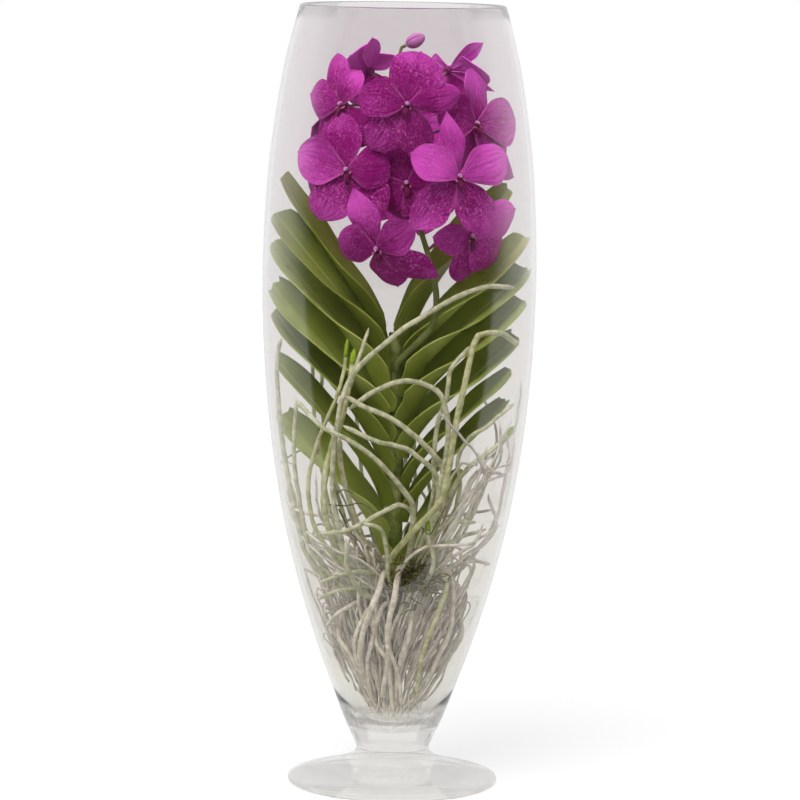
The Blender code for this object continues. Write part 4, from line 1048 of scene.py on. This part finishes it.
tepal_faces = (tepal_material("tepal_front", (0.28, 0.007, 0.17), (0.88, 0.12, 0.72), (0.86, 0.27, 0.68),
                              0.50, 0.42),
               tepal_material("tepal_back", (0.56, 0.035, 0.40), (0.95, 0.24, 0.88), (0.92, 0.42, 0.84),
                              0.40, 0.0))
cup_skin = skin_material("bloom_cup_skin", (0.16, 0.01, 0.09), (0.30, 0.04, 0.20), 200.0, 0.6)
column_skin = skin_material("column_skin", (0.50, 0.16, 0.44), (0.74, 0.44, 0.70), 300.0, 0.4)
anther_skin = skin_material("anther_cap", (0.50, 0.22, 0.46), (0.74, 0.48, 0.70), 300.0, 0.45)
lobe_skin = skin_material("lip_side_lobe", (0.34, 0.09, 0.12), (0.62, 0.28, 0.34), 300.0, 0.4)
lip_skin = skin_material("lip_skin", (0.09, 0.004, 0.04), (0.22, 0.012, 0.10), 240.0, 0.4)
for bloom in BLOOMS:
    open_bloom(bloom)

# The last bud of the spike is still closed: an egg of three pale mauve sepals that meet along fine seams.
BUD_LENGTH = 18.5
BUD_TILT = 62.0
BUD_RADIUS = 6.7
BUD_SEAMS = 3
BUD_SEAM_SHARPNESS = 40
BUD_GROOVE = 0.05
BUD_GROOVE_SHARPNESS = 12
BUD_TAPER = 0.12
BUD_SEAM_RED = (0.20, 0.03, 0.09)

bpy.ops.object.select_all(action="DESELECT")
bpy.ops.mesh.primitive_uv_sphere_add(segments=48, ring_count=24, radius=1.0)
bud = bpy.context.active_object
bud.name = "closed_bud"
seams = []
for vertex in bud.data.vertices:
    x, y, z = vertex.co
    seam = math.cos(BUD_SEAMS * math.atan2(y, x))
    seams.append(max(0.0, seam) ** BUD_SEAM_SHARPNESS)
    slim = 1.0 - BUD_GROOVE * max(0.0, seam) ** BUD_GROOVE_SHARPNESS - BUD_TAPER * max(0.0, z)
    vertex.co = Vector((x * BUD_RADIUS * slim, y * BUD_RADIUS * slim,
                        z * BUD_LENGTH / 2 + BUD_LENGTH / 2 + TOUCH_GAP)) * MM
bud.data.transform(Matrix.Translation(Vector(SPIKE_PATH[-1]) * MM)
                   @ Matrix.Rotation(math.radians(BUD_TILT), 4, "Y"))
mark(bud, "seam", seams)
bud_skin = skin_material("bud_skin", (0.40, 0.10, 0.33), (0.60, 0.24, 0.52), 60.0, 0.45)
tree = bud_skin.node_tree
bud_colour = tree.nodes["Principled BSDF"].inputs["Base Color"]
mauve = bud_colour.links[0].from_socket
seam_mark = add_node(tree, "ShaderNodeAttribute", attribute_name="seam")
tree.links.new(blended(tree, seam_mark.outputs["Fac"], mauve, BUD_SEAM_RED), bud_colour)
bud.data.materials.append(bud_skin)
pick(bud)
bpy.ops.object.shade_smooth()
place(bud, "bud_mauve", "bud")

# The studio: a pale floor that starts just in front of the vase and runs back into a white surround, and
# one wide soft light from the upper front left. What the glass mirrors is dark in front, as if the room
# behind the camera were unlit.
FLOOR_FRONT = -0.32
FLOOR_BACK = 4.5
FLOOR_DROP = 0.0002
FLOOR_GREY = (0.20, 0.20, 0.20, 1.0)
FLOOR_GLOW = 0.67
WHITE = (1.0, 1.0, 1.0, 1.0)
SURROUND = 1.0
DIM_FRONT = 0.88
DARK_FRONT = 0.02
DIM_TURN = (-0.9, 0.1)
DARK_TURN = (-0.25, 0.35)
LIGHT_ENERGY = 3.4
LIGHT_WIDTH = 35
LIGHT_FROM = (-0.45, -0.9, 1.5)
CAMERA_PLACE = (2.12 * MM, -3700.0 * MM, 815.0 * MM)
CAMERA_DOWN = 7.2079
CAMERA_ROLL = 0.8539
CAMERA_LENS = 187.32
SENSOR = 36.0
CAMERA_REACH = 60.0

bpy.ops.object.select_all(action="DESELECT")
bpy.ops.mesh.primitive_plane_add(size=1.0, location=(0, (FLOOR_BACK + FLOOR_FRONT) / 2, -FLOOR_DROP))
floor = bpy.context.active_object
floor.name = "studio_floor"
floor.scale = (2 * FLOOR_BACK, FLOOR_BACK - FLOOR_FRONT, 1.0)
bpy.ops.object.transform_apply(location=True, rotation=False, scale=True)
floor_material, tree, shader = new_material("pale_floor", Roughness=0.9, Base_Color=FLOOR_GREY,
                                            Emission_Color=WHITE, Emission_Strength=FLOOR_GLOW)
floor.data.materials.append(floor_material)

world = bpy.data.worlds.new("studio_surround")
bpy.context.scene.world = world
world.use_nodes = True
tree = world.node_tree
background = tree.nodes["Background"]
look = add_node(tree, "ShaderNodeTexCoord")
split = add_node(tree, "ShaderNodeSeparateXYZ", {0: look.outputs["Generated"]})
dim = ranged(tree, split.outputs["Y"], *DARK_TURN, DARK_FRONT, SURROUND, interpolation_type="SMOOTHSTEP")
even = ranged(tree, split.outputs["Y"], *DIM_TURN, DIM_FRONT, SURROUND)
path = add_node(tree, "ShaderNodeLightPath")
mirrored = reckoned(tree, "GREATER_THAN", path.outputs["Glossy Depth"], 0.5)
strength = add_node(tree, "ShaderNodeMix", {"Factor": mirrored, "A": even, "B": dim})
tree.links.new(strength.outputs["Result"], background.inputs["Strength"])
background.inputs["Color"].default_value = WHITE

sun_data = bpy.data.lights.new("wide_soft_light", "SUN")
sun_data.energy = LIGHT_ENERGY
sun_data.angle = math.radians(LIGHT_WIDTH)
sun = bpy.data.objects.new("wide_soft_light", sun_data)
bpy.context.scene.collection.objects.link(sun)
sun.rotation_euler = (-Vector(LIGHT_FROM)).to_track_quat("-Z", "Y").to_euler()
sun.visible_glossy = False
sun.visible_transmission = False

camera_data = bpy.data.cameras.new("photo_camera")
camera_data.lens = CAMERA_LENS
camera_data.sensor_width = SENSOR
camera_data.clip_end = CAMERA_REACH
camera = bpy.data.objects.new("photo_camera", camera_data)
bpy.context.scene.collection.objects.link(camera)
camera.matrix_world = (Matrix.Translation(CAMERA_PLACE)
                       @ Matrix.Rotation(math.radians(90 - CAMERA_DOWN), 4, "X")
                       @ Matrix.Rotation(math.radians(CAMERA_ROLL), 4, "Z"))
bpy.context.scene.camera = camera
bpy.context.scene.view_settings.view_transform = "Standard"
